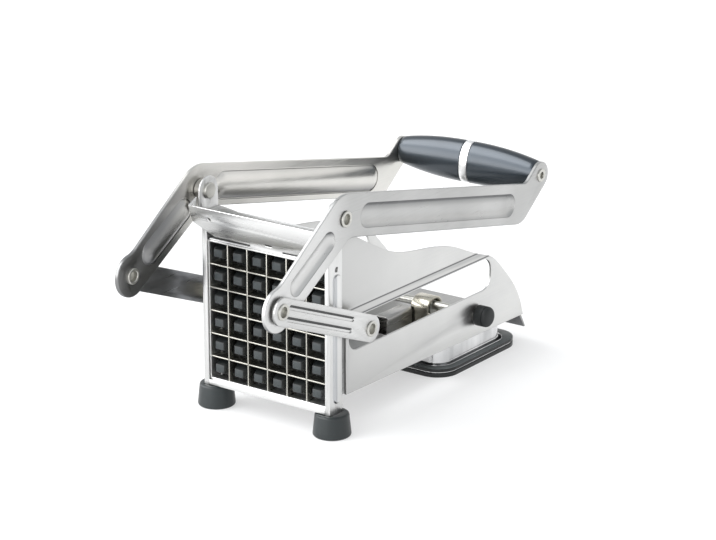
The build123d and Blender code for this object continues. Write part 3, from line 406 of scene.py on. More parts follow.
@dataclass(frozen=True)
class BrushedSteel(Finish):
    """Stainless sheet, cold rolled and brushed: fine lines one way and slow clouds across them."""

    grain: Grain
    line_mm: float = 0.8    # brush lines are nearer 0.1 mm, drawn coarser so that they show
    run_mm: float = 45.0    # how far one line runs
    cloud_mm: float = 30.0  # size of the slow changes of tone
    aside: str = field(default="#6c6d6f", kw_only=True)  # painted shade on the undersides

    LINE_SHARE: ClassVar[float] = 0.5       # weight of a line against a cloud
    TINT_SPAN: ClassVar[Pair] = (0.5, 1.0)  # where the ends of both together lie

    def patterns(self, tree: Tree, place: Socket) -> Patterns:
        """Draws the brush lines and the clouds.

        Args:
            tree: The node tree.
            place: Object coordinates.

        Returns:
            Tint, gloss and height.
        """
        long, short = 1 / (self.run_mm * MM), 1 / (self.line_mm * MM)
        along = [long if share else short for share in self.grain.value]
        lengthwise = add_node(tree, "ShaderNodeMapping", {"Vector": place, "Scale": along})
        brush = {"Vector": lengthwise.outputs[0], "Scale": 1.0, "Detail": FINE}
        lines = add_node(tree, "ShaderNodeTexNoise", brush).outputs["Fac"]
        slow = {"Vector": place, "Scale": 1 / (self.cloud_mm * MM), "Detail": COARSE}
        clouds = add_node(tree, "ShaderNodeTexNoise", slow).outputs["Fac"]
        weighed = {0: lines, 1: self.LINE_SHARE, 2: clouds}
        both = add_node(tree, "ShaderNodeMath", weighed, operation="MULTIPLY_ADD").outputs[0]
        span = {"Value": both, **dict(zip(RANGE, self.TINT_SPAN))}
        return add_node(tree, "ShaderNodeMapRange", span).outputs[0], lines, lines


@dataclass(frozen=True)
class MarkedSheet(BrushedSteel):
    """Brushed sheet whose tone changes along its length, with a painted shade line along each sharp
    bend.
    """

    worn: str = "#9a9b9d"               # tone at the front end
    worn_mm: Pair = (-104.0, -20.0)     # where it is full, and where it ends
    creases_mm: tuple[float, ...] = ()  # heights of the bends
    # painted shade along each bend: its half width and its tone
    crease_half_mm: float = 0.55
    crease: str = "#5d5e60"

    def coloured(self, tree: Tree, place: Socket, tint: Socket) -> Socket:
        """Tones the sheet along its length and paints shade along its bends.

        Args:
            tree: The node tree.
            place: Object coordinates.
            tint: The sheet's colour so far.

        Returns:
            Its colour with the tone along its length, and painted shade at its bends and on its
            undersides.
        """
        ways = add_node(tree, "ShaderNodeSeparateXYZ", {0: place}).outputs
        reach = tuple(end * MM for end in self.worn_mm)
        sheet = blended(tree, ways["Y"], reach, linear(self.worn), tint)
        # a painted shade line at each bend's height
        for level in self.creases_mm:
            heights = {0: ways["Z"], 1: level * MM}
            away = add_node(tree, "ShaderNodeMath", heights, operation="SUBTRACT").outputs[0]
            gap = add_node(tree, "ShaderNodeMath", {0: away}, operation="ABSOLUTE").outputs[0]
            reach = (0.0, self.crease_half_mm * MM)
            sheet = blended(tree, gap, reach, linear(self.crease), sheet)
        return super().coloured(tree, place, sheet)


@dataclass(frozen=True)
class PlatedSteel(Finish):
    """Turned steel with a thin plating: a warm or cool metal with a faint mottle."""

    mottle_mm: float = 1.6

    BUMP: ClassVar[float] = 0.4
    GLOSS_SPAN: ClassVar[Pair] = (0.0, 1.0)
    MOTTLE_ROUGHNESS: ClassVar[float] = 0.6  # how much of the mottle is fine

    def patterns(self, tree: Tree, place: Socket) -> Patterns:
        """Draws the mottle.

        Args:
            tree: The node tree.
            place: Object coordinates.

        Returns:
            Tint, gloss and height, which are one.
        """
        spots = {"Vector": place, "Scale": 1 / (self.mottle_mm * MM), "Detail": MOTTLED}
        spots["Roughness"] = self.MOTTLE_ROUGHNESS
        mottle = add_node(tree, "ShaderNodeTexNoise", spots).outputs["Fac"]
        return mottle, mottle, mottle


@dataclass(frozen=True)
class Moulded(Finish):
    """A moulded plastic or rubber: the mould's texture as grit, and slow changes in its gloss."""

    grit_mm: float
    coat: float = 0.0       # weight of a clear gloss over it
    cloud_mm: float = 14.0  # size of the slow changes of gloss
    glint: str = "#ffffff"  # tint of its highlights

    COAT_ROUGHNESS: ClassVar[float] = 0.2
    ASIDE_AXIS: ClassVar[str] = "Y"  # painted light on the faces turned forward
    ASIDE_SPAN: ClassVar[Pair] = (-0.995, -0.96)

    def shader_values(self) -> dict[str, object]:
        """Uniform values for the shader: the clear gloss and the tint of the highlights."""
        coat = {"Coat Weight": self.coat, "Coat Roughness": self.COAT_ROUGHNESS}
        return {**coat, "Specular Tint": linear(self.glint)}

    def patterns(self, tree: Tree, place: Socket) -> Patterns:
        """Draws the grit and the clouds.

        Args:
            tree: The node tree.
            place: Object coordinates.

        Returns:
            Tint, gloss and height.
        """
        fine = {"Vector": place, "Scale": 1 / (self.grit_mm * MM), "Detail": COARSE}
        slow = {"Vector": place, "Scale": 1 / (self.cloud_mm * MM), "Detail": FINE}
        grit = add_node(tree, "ShaderNodeTexNoise", fine).outputs["Fac"]
        clouds = add_node(tree, "ShaderNodeTexNoise", slow).outputs["Fac"]
        return clouds, clouds, grit


# AISI 304 sheet, deep-pressed: soft grey, darker towards the front, with painted shade along its
# bends
SIDE_SHEET = MarkedSheet(
    "pressed_stainless_side_plates", "#d8d8d6", "#cbcbca", (0.3, 0.42), Grain.REARWARD,
    worn="#bebebd", worn_mm=(-75.0, 45.0), creases_mm=(59.3, 56.5),
)
# The same sheet, plainly folded: brighter
BODY_SHEET = BrushedSteel(
    "brushed_stainless_folded", "#eaeae9", "#dcdcdb", (0.28, 0.4), Grain.ACROSS
)
# The flange that the hand lifts by: nearly white, with paler painted shade on its underside
FLANGE_SHEET = BrushedSteel(
    "brushed_stainless_flange", "#f0f0ef", "#e4e4e3", (0.24, 0.36), Grain.ACROSS, aside="#b2b2b1"
)
# The floor inside the body, with painted shade: a middle grey with long lines
FLOOR_SHEET = BrushedSteel(
    "brushed_stainless_floor", "#a2a2a1", "#959594", (0.26, 0.38), Grain.REARWARD
)
# The posts, brushed upwards: a clean light grey
POST_SHEET = BrushedSteel(
    "brushed_stainless_upright", "#dcdcdb", "#d0d0cf", (0.26, 0.38), Grain.UPRIGHT
)
# Painted shade on the front flank of the posts' beads: a soft grey band
BEAD_SHADE = BrushedSteel(
    "pressed_stainless_bead", "#bdbec0", "#b1b3b5", (0.3, 0.42), Grain.UPRIGHT
)
# Painted shade on faces inside the body: dull and dark
INNER_SHADE = BrushedSteel("mill_finish_stainless", "#4a4b4c", "#3c3d3e", (0.5, 0.6), Grain.ACROSS)
# Zinc-dipped channel: a smooth warm grey, hardly brushed
CHANNEL_SHEET = BrushedSteel(
    "galvanised_channel", "#b4b3b1", "#aaa9a7", (0.26, 0.34), Grain.REARWARD, relief_mm=0.0015
)
# Thicker strip, tumbled after pressing: a middle grey, paler at its front end
ARM_SHEET = MarkedSheet(
    "tumbled_stainless_arm", "#bebebd", "#adadac", (0.27, 0.4), Grain.REARWARD,
    worn="#d0d0cf", worn_mm=(-80.0, -50.0),
)
# The same strip, a brighter grey
LINK_SHEET = BrushedSteel(
    "tumbled_stainless_links", "#d2d2d1", "#c2c2c1", (0.25, 0.36), Grain.REARWARD
)
# Painted shade on the upper half of a groove: near black
GROOVE_SHADE = BrushedSteel(
    "unpolished_groove_floor", "#545454", "#484848", (0.3, 0.42), Grain.REARWARD
)
# The left arm, with painted shade that darkens towards its front end: warm and light, then dark
SHADED_LEFT_ARM = MarkedSheet(
    "tarnished_stainless_arm", "#dedcd8", "#cecdc8", (0.28, 0.4), Grain.REARWARD,
    relief_mm=0.01, worn="#868686", worn_mm=(-90.0, -55.0),
)
# The left link, darkened all over with painted shade: a cool dark grey
SHADED_LEFT_LINK = BrushedSteel(
    "tarnished_stainless_link", "#9c9da0", "#8d8e91", (0.26, 0.36), Grain.REARWARD,
    line_mm=1.4, relief_mm=0.004,
)
# Ground strip: warm and matt, with short grinding marks
BLADE_STEEL = BrushedSteel(
    "ground_stainless_blades", "#c6c4bc", "#b4b2aa", (0.24, 0.36), Grain.ACROSS,
    line_mm=0.5, run_mm=8.0,
)
# Drawn cup, polished, with painted reflections: upright bands of light and dark
CUP_STEEL = BrushedSteel(
    "polished_stainless_cup", "#e6e6e6", "#a4a5a6", (0.1, 0.16), Grain.UPRIGHT,
    line_mm=7.0, run_mm=200.0,
)
# Zinc plate: an ivory sheen with a fine mottle
PIN_STEEL = PlatedSteel(
    "zinc_plated_rivet_steel", "#cfcec9", "#b5b4ae", (0.38, 0.24), relief_mm=0.01
)
# The same, passivated yellow: a straw tint
SLEEVE_STEEL = PlatedSteel(
    "yellow_passivated_zinc", "#d9d4c2", "#c4bfac", (0.36, 0.24), relief_mm=0.01
)
# Passivated olive: duller and greener, in broad patches
STRAP_STEEL = PlatedSteel(
    "olive_passivated_zinc", "#cdc9bc", "#bdb9ab", (0.3, 0.22), mottle_mm=4.0, relief_mm=0.002
)
# Chrome under a satin polish: white, with no sharp reflection
RING_CHROME = PlatedSteel(
    "satin_chrome_ring", "#fafafa", "#f2f2f2", (0.4, 0.3), mottle_mm=6.0, relief_mm=0.002
)
# Polished mould: deep black under a clear, cool gloss
GRIP_PLASTIC = Moulded(
    "gloss_black_abs_grip", "#11171b", "#0c1014", (0.3, 0.4), 1.2,
    relief_mm=0.004, coat=0.9, glint="#cfe6ff",
)
# Dark in the slopes of the studs, with painted light: grey on the faces turned forward
PUSHER_PLASTIC = Moulded(
    "black_polypropylene_pusher", "#101516", "#0a0d0e", (0.4, 0.55), 0.5, aside="#2b3133"
)
# Spark-eroded mould: black and matt
KNOB_PLASTIC = Moulded(
    "eroded_black_nylon_knob", "#101617", "#090c0d", (0.5, 0.62), 0.45, relief_mm=0.03
)
# Plain rubber: a soft dark grey with a dull sheen
FOOT_RUBBER = Moulded("black_rubber", "#20282a", "#151a1b", (0.34, 0.48), 0.6)
# The rim's top: grey, and duller than its sides
RIM_TOP_RUBBER = Moulded(
    "bloomed_grey_rubber", "#7b8081", "#6d7273", (0.4, 0.52), 0.8, relief_mm=0.008
)
# Its sides, kept damp so that they seal: black, with a clear highlight
RIM_RUBBER = Moulded("wetted_black_rubber", "#0f1415", "#090c0d", (0.2, 0.3), 0.6, relief_mm=0.01)

FINISHES: dict[str, Finish] = dict(
    body_sheet=BODY_SHEET,
    arm_sheet=ARM_SHEET,
    blade_steel=BLADE_STEEL,
    pin_steel=PIN_STEEL,
    strap_steel=STRAP_STEEL,
    ring_chrome=RING_CHROME,
    grip_plastic=GRIP_PLASTIC,
    pusher_plastic=PUSHER_PLASTIC,
    knob_plastic=KNOB_PLASTIC,
    foot_rubber=FOOT_RUBBER,
)
SLOT_OF = {part["node"]: part["material_slot"] for part in frame["record"]["subparts"]}
BODY_OF = {
    node: body for body, nodes in frame["record"]["behaviour"]["bodies"].items() for node in nodes
}


def dress(obj: Piece, finish: Finish) -> None:
    """Gives an object one finish all over.

    Args:
        obj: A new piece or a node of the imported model.
        finish: The finish.
    """
    if not obj.material_slots:
        obj.data.materials.append(None)
    for slot in obj.material_slots:
        slot.material = finish.material()


def dress_part(obj: Piece, finish: Finish, test: FaceTest) -> None:
    """Gives some of a settled piece's faces a second finish.

    Args:
        obj: The piece, which has its first finish already.
        finish: The second finish.
        test: Says whether a face gets the second finish.
    """
    obj.data.materials.append(finish.material())
    for face in obj.data.polygons:
        if test(face.center, face.normal):
            face.material_index = len(obj.data.materials) - 1


# --- Putting pieces in place ---


def middle_of(node: str) -> Pair:
    """Where the middle of a node's box stands, rearward and up, in metres."""
    low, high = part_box(node)
    return (low.y + high.y) / 2, (low.z + high.z) / 2


def settle(obj: Piece, *nodes: str, finish: Finish | None = None) -> Piece:
    """Puts a finished piece in place of the nodes that it stands for, and reports it.

    Args:
        obj: The piece, whose place is in its mesh.
        *nodes: The nodes that it replaces, all of one body and slot.
        finish: Its finish, or None for the slot's own.

    Returns:
        The same piece.
    """
    slot = SLOT_OF[nodes[0]]
    dress(obj, finish or FINISHES[slot])
    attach(obj, BODY_OF[nodes[0]])
    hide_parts(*nodes)
    log.info("%s: %d faces, rides on %s", obj.name, len(obj.data.polygons), BODY_OF[nodes[0]])
    return obj


def eased(node: str, width_mm: float, steps: int = 2, finish: Finish | None = None) -> Piece:
    """Replaces a node by a copy whose cut edges are rounded off.

    Args:
        node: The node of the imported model.
        width_mm: Width of the rounding.
        steps: Faces across the rounding.
        finish: The copy's finish, or None for the slot's own.

    Returns:
        The copy.
    """
    copy = copy_node(node, f"{node}_eased")
    break_edges(copy, width_mm * MM, steps)
    return settle(copy, node, finish=finish)


@dataclass(frozen=True)
class TubularRivet:
    """A semi-hollow rivet along X, in millimetres from the middle of the cutter."""

    root: float  # the plain end of the shank
    seat: float  # where the rolled end starts
    face: float  # the outside of the rolled end
    shank: float = 3.0
    head: float = 3.9
    hole: float = 2.5
    hole_depth: float = 2.0
    edge: float = 0.4
    raised: float = 0.0  # height of a second, plain head at the root

    HOLE_FLOOR: ClassVar[Pair] = (0.94, 0.4)  # two rings of it, as shares of the hole

    def lip(self) -> list[Pair]:
        """Points on a quarter circle, each as what is left of it outward and sideways."""
        turns = [i / LIP_STEPS * pi / 2 for i in range(LIP_STEPS + 1)]
        return [(1 - sin(turn), 1 - cos(turn)) for turn in turns]

    def rolled_end(self) -> list[Pair]:
        """Lists the sections from the seat over the rounded lip to the floor of the hole.

        Returns:
            The place and the radius of each section.
        """
        way = 1 if self.face > self.root else -1
        floor = self.face - way * self.hole_depth
        depth = way * self.edge
        return [
            (self.seat, self.shank),
            (self.seat, self.head),
            *[(self.face - depth * x, self.head - self.edge * r) for x, r in self.lip()],
            *[(self.face - depth * x, self.hole + self.edge * r) for r, x in self.lip()],
            *[(floor, self.hole * share) for share in self.HOLE_FLOOR],
        ]

    def plain_end(self) -> list[Pair]:
        """Lists the sections of the root, with its raised head if it has one.

        Returns:
            The place and the radius of each section.
        """
        if not self.raised:
            return [(self.root, self.shank)]
        top = self.root - self.raised
        lip = [(top + self.edge * x, self.head - self.edge * r) for r, x in self.lip()]
        return [*lip, (self.root, self.head), (self.root, self.shank)]

    def build(self, name: str, centre: Pair, hand: Hand) -> Piece:
        """Turns up the rivet.

        Args:
            name: The piece's name.
            centre: Where its axis runs, rearward and up, in metres.
            hand: The side that it belongs to.

        Returns:
            The rivet.
        """
        placed = [(hand.value * x, radius) for x, radius in self.plain_end() + self.rolled_end()]
        return turned(name, centre, rings(*placed))


def riveted(name: str, node: str, rivet: TubularRivet) -> None:
    """Puts a pair of rivets, joined as one piece, in place of a node.

    Args:
        name: The pair's name.
        node: The node that it stands for.
        rivet: The rivet's sizes.
    """
    left, right = (rivet.build(f"{name}_{hand.word}", middle_of(node), hand) for hand in Hand)
    take(left)
    right.select_set(True)
    bpy.ops.object.join()
    left.name = name
    left.data.name = name
    settle(left, node)


# --- Sub-assemblies ---


@dataclass
class Body:
    """Side plates, front posts, cross members and floor."""

    cut_edge_mm: float = 0.22
    fold_mm: float = 0.5
    thin_fold_mm: float = 0.42  # under half the sheet, so that the two roundings don't meet
    foot_edge_mm: float = 0.3
    brushed_above_mm: float = 95.5  # the painted shade on the upper member's inner face ends here
    post_face_mm: float = 38.0
    bead_mm: Pair = (0.02, 0.5)   # the bead, and its top, stand out of the face by more
    bead_flank_mm: float = -57.0  # the bead's front flank ends here
    upper: Piece = field(init=False)

    def post(self, hand: Hand) -> None:
        """Rounds a front post's folds and paints shade on the front flank of its bead.

        Args:
            hand: The post's side.
        """
        obj = eased(f"front_post_{hand.word}", self.fold_mm, 3, POST_SHEET)
        foot, top = ((self.post_face_mm + height) * MM for height in self.bead_mm)
        flank = self.bead_flank_mm * MM
        with editing(obj):
            pick_faces(obj, lambda mid, way: abs(mid.x) > top)
            bpy.ops.mesh.bisect(plane_co=(0, flank, 0), plane_no=(0, 1, 0))
        # painted shade on the front of the bead: its flank and the front of its top
        dress_part(obj, BEAD_SHADE, lambda mid, way: abs(mid.x) > foot and mid.y < flank)

    def build(self) -> None:
        """Rounds the cut and folded edges of the sheet pieces and the feet."""
        for hand in Hand:
            eased(f"side_plate_{hand.word}", self.cut_edge_mm, 2, SIDE_SHEET)
            self.post(hand)
            eased(f"foot_{hand.word}", self.foot_edge_mm)
        eased("bottom_cross_member", self.cut_edge_mm)
        eased("floor_plate", self.cut_edge_mm, 2, FLOOR_SHEET)
        eased("hump_channel", self.thin_fold_mm, 3, CHANNEL_SHEET)
        self.upper = eased("top_cross_member", self.cut_edge_mm)

    def dress(self) -> None:
        """Paints shade on the lower part of the upper member's inner face."""
        top = self.brushed_above_mm * MM
        with editing(self.upper):
            bpy.ops.mesh.bisect(plane_co=(0, 0, top), plane_no=(0, 0, 1))
        dress_part(self.upper, INNER_SHADE, lambda mid, way: way.y < -SQUARELY and mid.z < top)


@dataclass
class BladeInsert:
    """The square frame, its crossed blades and the lifting flange."""

    frame_edge_mm: float = 0.15
    flange_edge_mm: float = 0.3
    blade_edge_mm: float = 0.2
    frame_top_mm: float = 1.0  # how far down the frame's top has painted shade

    def build(self) -> None:
        """Rounds the frame, paints shade on its top, and rounds the flange."""
        border = eased("blade_frame", self.frame_edge_mm)
        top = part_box("blade_frame")[1].z - self.frame_top_mm * MM
        # painted shade on the frame's top
        dress_part(border, INNER_SHADE, lambda mid, way: way.z > SQUARELY and mid.z > top)
        eased("insert_flange", self.flange_edge_mm, 3, FLANGE_SHEET)

    def dress(self) -> None:
        """Rounds the blades' ground edges."""
        for node in ("vertical_blades", "horizontal_blades"):
            eased(node, self.blade_edge_mm)


@dataclass(frozen=True)
class PressedPan:
    """A long pan pressed into an arm, given a round trough in place of a flat floor.

    Lengths are in millimetres, from the lever's pivot.
    """

    angle: float  # direction of the pan, in degrees from the rear, upwards
    start: float
    end: float
    half: float          # half its width
    middle: float = 0.0  # how far its centre line runs to the left of the pivot
    rim: float = 0.8     # the hollow's rounded rim, outside its width
    wall: float = 1.0    # the raised side's foot, outside its width
    rows: int = 12

    TOUCHING: ClassVar[float] = 0.01  # a point nearer to the arm's flat face lies in it

    def axes(self) -> tuple[Vector, Vector]:
        """The pan's direction and the way to its left."""
        turn = radians(self.angle)
        return Vector((0, cos(turn), sin(turn))), Vector((0, -sin(turn), cos(turn)))

    def away(self, place: Vector, pivot: Vector) -> float:
        """Measures how far a point stands from the pan's centre line.

        Args:
            place: The point, in metres.
            pivot: The lever's pivot, in metres.

        Returns:
            The distance in millimetres.
        """
        ahead, left = self.axes()
        reach = (place - pivot) / MM
        along = reach.dot(ahead)
        beyond = along - min(max(along, self.start + self.half), self.end - self.half)
        return hypot(beyond, reach.dot(left) - self.middle)

    def cuts(self) -> list[tuple[Vector, Vector]]:
        """Lists the cuts that give the pan its rows, and its two ends their columns.

        Returns:
            A place, in millimetres from the pivot, and a direction for each cut.
        """
        ahead, left = self.axes()
        step = 2 * self.half / self.rows
        edge = self.middle - self.half
        columns = range(1, self.rows // 2 + 1)
        rows = [(left * (edge + step * row), left) for row in range(1, self.rows)]
        near = [(ahead * (self.start + step * column), ahead) for column in columns]
        far = [(ahead * (self.end - step * column), ahead) for column in columns]
        return rows + near + far

    def press(self, obj: Piece, faces_mm: Pair) -> None:
        """Rounds the pan across its width.

        Args:
            obj: The arm.
            faces_mm: How far out the arm's inner and outer faces stand.
        """
        pivot = Vector((0, *middle_of("pivot_pins")))
        inner, outer = faces_mm
        with editing(obj):
            for place, direction in self.cuts():
                pick_faces(
                    obj,
                    lambda mid, way: self.away(mid, pivot) < self.half + self.wall
                    and abs(mid.x) < (outer - self.TOUCHING) * MM,
                )
                bpy.ops.mesh.bisect(plane_co=pivot + place * MM, plane_no=direction)
            shape = bmesh.from_edit_mesh(obj.data)
            shape.normal_update()
            for vertex in shape.verts:
                out = abs(vertex.co.x) / MM
                hollow = vertex.normal.x * vertex.co.x > 0
                face, edge = (outer, self.rim) if hollow else (inner, self.wall)
                share = (self.half + edge - self.away(vertex.co, pivot)) / (self.half + edge)
                if share > 0 and out < face - self.TOUCHING:
                    kept = 1 - (1 - share) ** 2
                    vertex.co.x *= (face - (face - out) * kept) / out
            bmesh.update_edit_mesh(obj.data)


@dataclass
class Lever:
    """Two arms, the rivets that hold them, and the cross grip."""

    arm_edge_mm: float = 0.45
    arm_faces_mm: Pair = (42.1, 44.1)
    long_pan: PressedPan = PressedPan(angle=-11.55, start=11.7, end=147.3, half=5.9, middle=1.2)
    short_pan: PressedPan = PressedPan(angle=211.06, start=10.5, end=48.5, half=4.8)
    grip_stations: int = 14
    grip_root: float = 2.25  # where a half meets the ring
    grip_end: float = 42.1   # where it meets the arm
    grip_tall: Pair = (11.0, 7.0)
    grip_deep: Pair = (6.4, 5.4)
    grip_fall: float = 2.15  # how late along the half the section starts to fall away
    grip_edge: float = 0.5
    grip_edge_break: float = 0.3  # rounding of its corners, as a share of the edge
    ring_proud: float = 0.2
    slope: float = 11.55  # the sections lean rearward by this many degrees
    pivot: TubularRivet = TubularRivet(root=36.8, seat=44.4, face=45.0, raised=1.2)
    link_half: TubularRivet = TubularRivet(root=44.1, seat=42.1, face=40.9, hole_depth=2.4)
    end_screw: TubularRivet = TubularRivet(
        root=42.1, seat=44.1, face=44.8, shank=2.0, head=3.4, hole=1.7, hole_depth=1.8, edge=0.35
    )

    # The ring's crown from its side to its middle: shares of its half width and of its rise
    CROWN: ClassVar[tuple[Pair, ...]] = (
        (1.0, -0.5), (0.93, -0.1), (0.78, 0.1), (0.4, 1.0), (0.0, 1.0),
    )

    def arm(self, hand: Hand, finish: Finish) -> None:
        """Rounds an arm's two pressed pans and its edges.

        Args:
            hand: The arm's side.
            finish: Its finish.
        """
        obj = copy_node(f"arm_{hand.word}", f"pressed_arm_{hand.word}")
        for pan in (self.long_pan, self.short_pan):
            pan.press(obj, self.arm_faces_mm)
        break_edges(obj, self.arm_edge_mm * MM, 3)
        settle(obj, f"arm_{hand.word}", finish=finish)

    def grip_half(self, hand: Hand) -> None:
        """Turns up one half of the grip from oval sections that taper towards its arm.

        Args:
            hand: The half's side.
        """
        stations = []
        for i in range(self.grip_stations + 1):
            share = i / self.grip_stations
            fall = share**self.grip_fall
            reach = self.grip_root + share * (self.grip_end - self.grip_root)
            deep = self.grip_deep[0] + fall * (self.grip_deep[1] - self.grip_deep[0])
            tall = self.grip_tall[0] + fall * (self.grip_tall[1] - self.grip_tall[0])
            stations.append(Station(hand.value * reach, deep, tall))
        first, last = stations[0], stations[-1]
        edge = self.grip_edge
        stations[0] = Station(first.x + hand.value * edge, first.depth, first.height)
        stations[-1] = Station(last.x - hand.value * edge, last.depth, last.height)
        stations.insert(0, Station(first.x, first.depth - edge, first.height - edge))
        stations.append(Station(last.x, last.depth - edge, last.height - edge))
        obj = turned(f"grip_half_{hand.word}", middle_of("grip_ring"), stations, self.slope)
        break_edges(obj, self.grip_edge_break * edge * MM, 3)
        settle(obj, f"grip_{hand.word}")

    def ring(self) -> None:
        """Turns up the crowned ring between the halves."""
        half, deep, tall = self.grip_root, self.grip_deep[0], self.grip_tall[0]
        side = [(half * x, self.ring_proud * rise) for x, rise in self.CROWN]
        profile = [(-x, rise) for x, rise in side] + side[-2::-1]
        stations = [Station(x, deep + rise, tall + rise) for x, rise in profile]
        obj = turned("crowned_grip_ring", middle_of("grip_ring"), stations, self.slope)
        settle(obj, "grip_ring")

    def build(self) -> None:
        """Rounds the arms and makes the grip and the rivets."""
        for hand, finish in ((Hand.LEFT, SHADED_LEFT_ARM), (Hand.RIGHT, ARM_SHEET)):
            self.arm(hand, finish)
            self.grip_half(hand)
        self.ring()
        riveted("pivot_rivets", "pivot_pins", self.pivot)
        riveted("link_pin_inner_rivets", "arm_pins", self.link_half)
        riveted("grip_end_screws", "grip_screws", self.end_screw)

    def dress(self) -> None:
        """Dresses the turned parts that keep their plain shape."""
        for node in ("grip_rod", "pivot_spacers"):
            dress(frame["nodes"][node], PIN_STEEL)


@dataclass
class Drive:
    """Side links, axle and pusher."""

    link_edge_mm: float = 0.3
    stud_edge_mm: float = 0.26
    groove_floor_mm: Pair = (45.6, 46.0)  # the grooves end between these, outward
    groove_spacing_mm: float = 5.4
    link_rivet: TubularRivet = TubularRivet(root=45.2, seat=46.6, face=47.2, edge=0.35, raised=0.8)
    axle_end: TubularRivet = TubularRivet(root=0.0, seat=46.65, face=47.2, edge=0.35)

    def axle(self) -> None:
        """Turns up the axle in one piece with its two rolled ends."""
        end = self.axle_end.rolled_end()
        sections = [(-x, radius) for x, radius in reversed(end)] + end
        obj = turned("rolled_pusher_axle", middle_of("pusher_axle"), rings(*sections))
        settle(obj, "pusher_axle")

    def link(self, hand: Hand, finish: Finish) -> None:
        """Rounds a link's edges and paints shade on the upper half of its two grooves.

        Args:
            hand: The link's side.
            finish: Its finish.
        """
        obj = eased(f"link_{hand.word}", self.link_edge_mm, 2, finish)
        pin = Vector((0, *middle_of("link_rivets")))
        ahead = (Vector((0, *middle_of("pusher_axle"))) - pin).normalized()
        above = Vector((0, -ahead.z, ahead.y))
        half = self.groove_spacing_mm / 2
        inner, outer = (edge * MM for edge in self.groove_floor_mm)

        def floor(mid: Vector, way: Vector) -> bool:
            """Tells whether a face belongs to a groove's floor."""
            return abs(way.x) > SQUARELY and inner < abs(mid.x) < outer

        with editing(obj):
            for offset in (-half, half):
                pick_faces(obj, floor)
                bpy.ops.mesh.bisect(plane_co=pin + above * offset * MM, plane_no=above)
        # painted shade on the upper half of each groove's floor
        dress_part(
            obj,
            GROOVE_SHADE,
            lambda mid, way: floor(mid, way) and (mid - pin).dot(above) / MM % (2 * half) > half,
        )

    def build(self) -> None:
        """Rounds the links, the bracket and the studded block, and makes the axle and rivets."""
        self.link(Hand.LEFT, SHADED_LEFT_LINK)
        self.link(Hand.RIGHT, LINK_SHEET)
        eased("pusher_block", self.stud_edge_mm)
        eased("pusher_bracket", self.link_edge_mm)
        riveted("link_pin_outer_rivets", "link_rivets", self.link_rivet)
        self.axle()

    def dress(self) -> None:
        """Dresses the turned parts that keep their plain shape."""
        for node in ("axle_sleeves", "axle_clips", "bracket_screws"):
            dress(frame["nodes"][node], SLEEVE_STEEL)


@dataclass
class SuctionMount:
    """Rim, cup, membrane, lifting strap, crank and knob."""

    cup_edge_mm: float = 0.5
    strap_edge_mm: float = 0.2
    rim_edge_mm: float = 0.25
    rim_inside_mm: float = 0.5    # a wall that looks away from the middle by more is outer
    groove_mm: Pair = (2.2, 2.9)  # heights of the moulded groove's two edges
    groove_depth_mm: float = 0.7
    knob_root: float = 39.4
    knob_face: float = 47.2
    knob_radius: float = 5.3
    knob_foot: tuple[Pair, ...] = ((0.0, 0.5), (0.2, 0.15), (0.5, 0.0))
    knob_seam: float = 44.3  # where the cap meets the barrel
    knob_seam_depth: float = 0.35
    knob_seam_slope: float = 0.05
    dome_sweep: float = 0.97  # share of a quarter turn that the cap's profile covers
    dome_power: float = 0.45  # below 1, so that the cap is flatter than a ball

    UPRIGHT: ClassVar[Pair] = (0.1, 0.3)  # most height of a wall's normal, cut and then rounded
    LEVEL: ClassVar[float] = 0.95         # least height of the normal of the rim's top

    def rim(self) -> None:
        """Cuts the groove round the rubber rim and rounds its edges."""
        obj = copy_node("suction_rim", "grooved_suction_rim")
        low, high = (height * MM for height in self.groove_mm)
        front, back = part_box("suction_rim")
        centre = (front + back) / 2

        def outward(mid: Vector, way: Vector) -> float:
            """How far a face between the groove's edges looks away from the rim's middle."""
            return way.dot(mid - centre) if low < mid.z < high else 0.0

        inside = self.rim_inside_mm * MM
        cut, rounded = self.UPRIGHT
        with editing(obj):
            for height in (low, high):
                bpy.ops.mesh.select_all(action="SELECT")
                bpy.ops.mesh.bisect(plane_co=(0, 0, height), plane_no=(0, 0, 1))
            pick_faces(obj, lambda mid, way: abs(way.z) < cut and outward(mid, way) > inside)
            bpy.ops.mesh.extrude_region_shrink_fatten(
                TRANSFORM_OT_shrink_fatten={"value": -self.groove_depth_mm * MM}
            )
        break_edges(obj, self.rim_edge_mm * MM, 3)
        settle(obj, "suction_rim", finish=RIM_RUBBER)
        dress_part(obj, CUP_STEEL, lambda mid, way: abs(way.z) < rounded and outward(mid, way) > 0)
        dress_part(obj, RIM_TOP_RUBBER, lambda mid, way: way.z > self.LEVEL and mid.z > high)

    def knob(self) -> None:
        """Turns up the knob: a barrel, a fine seam and a domed cap."""
        full, seam, depth = self.knob_radius, self.knob_seam, self.knob_seam_depth
        slope, cap = self.knob_seam_slope, seam + depth
        sections = [(self.knob_root + out, full - inward) for out, inward in self.knob_foot]
        sections += [(seam, full), (seam + slope, full - depth)]
        sections += [(cap - slope, full - depth), (cap, full - slope)]
        for i in range(1, DOME_STEPS + 1):
            turn = i / DOME_STEPS * pi / 2 * self.dome_sweep
            rise = (self.knob_face - cap) * sin(turn)
            sections.append((cap + rise, full * cos(turn) ** self.dome_power))
        obj = turned("domed_crank_knob", middle_of("crank_knob"), rings(*sections))
        settle(obj, "crank_knob")

    def build(self) -> None:
        """Makes the rim and the knob and rounds the metal parts."""
        self.rim()
        self.knob()
        eased("suction_cup", self.cup_edge_mm, 3, CUP_STEEL)
        eased("lift_strap", self.strap_edge_mm)

    def dress(self) -> None:
        """Dresses the parts inside."""
        for node in ("membrane", "membrane_stem", "crank_shaft", "crank_cam"):
            dress(frame["nodes"][node], FINISHES[SLOT_OF[node]])


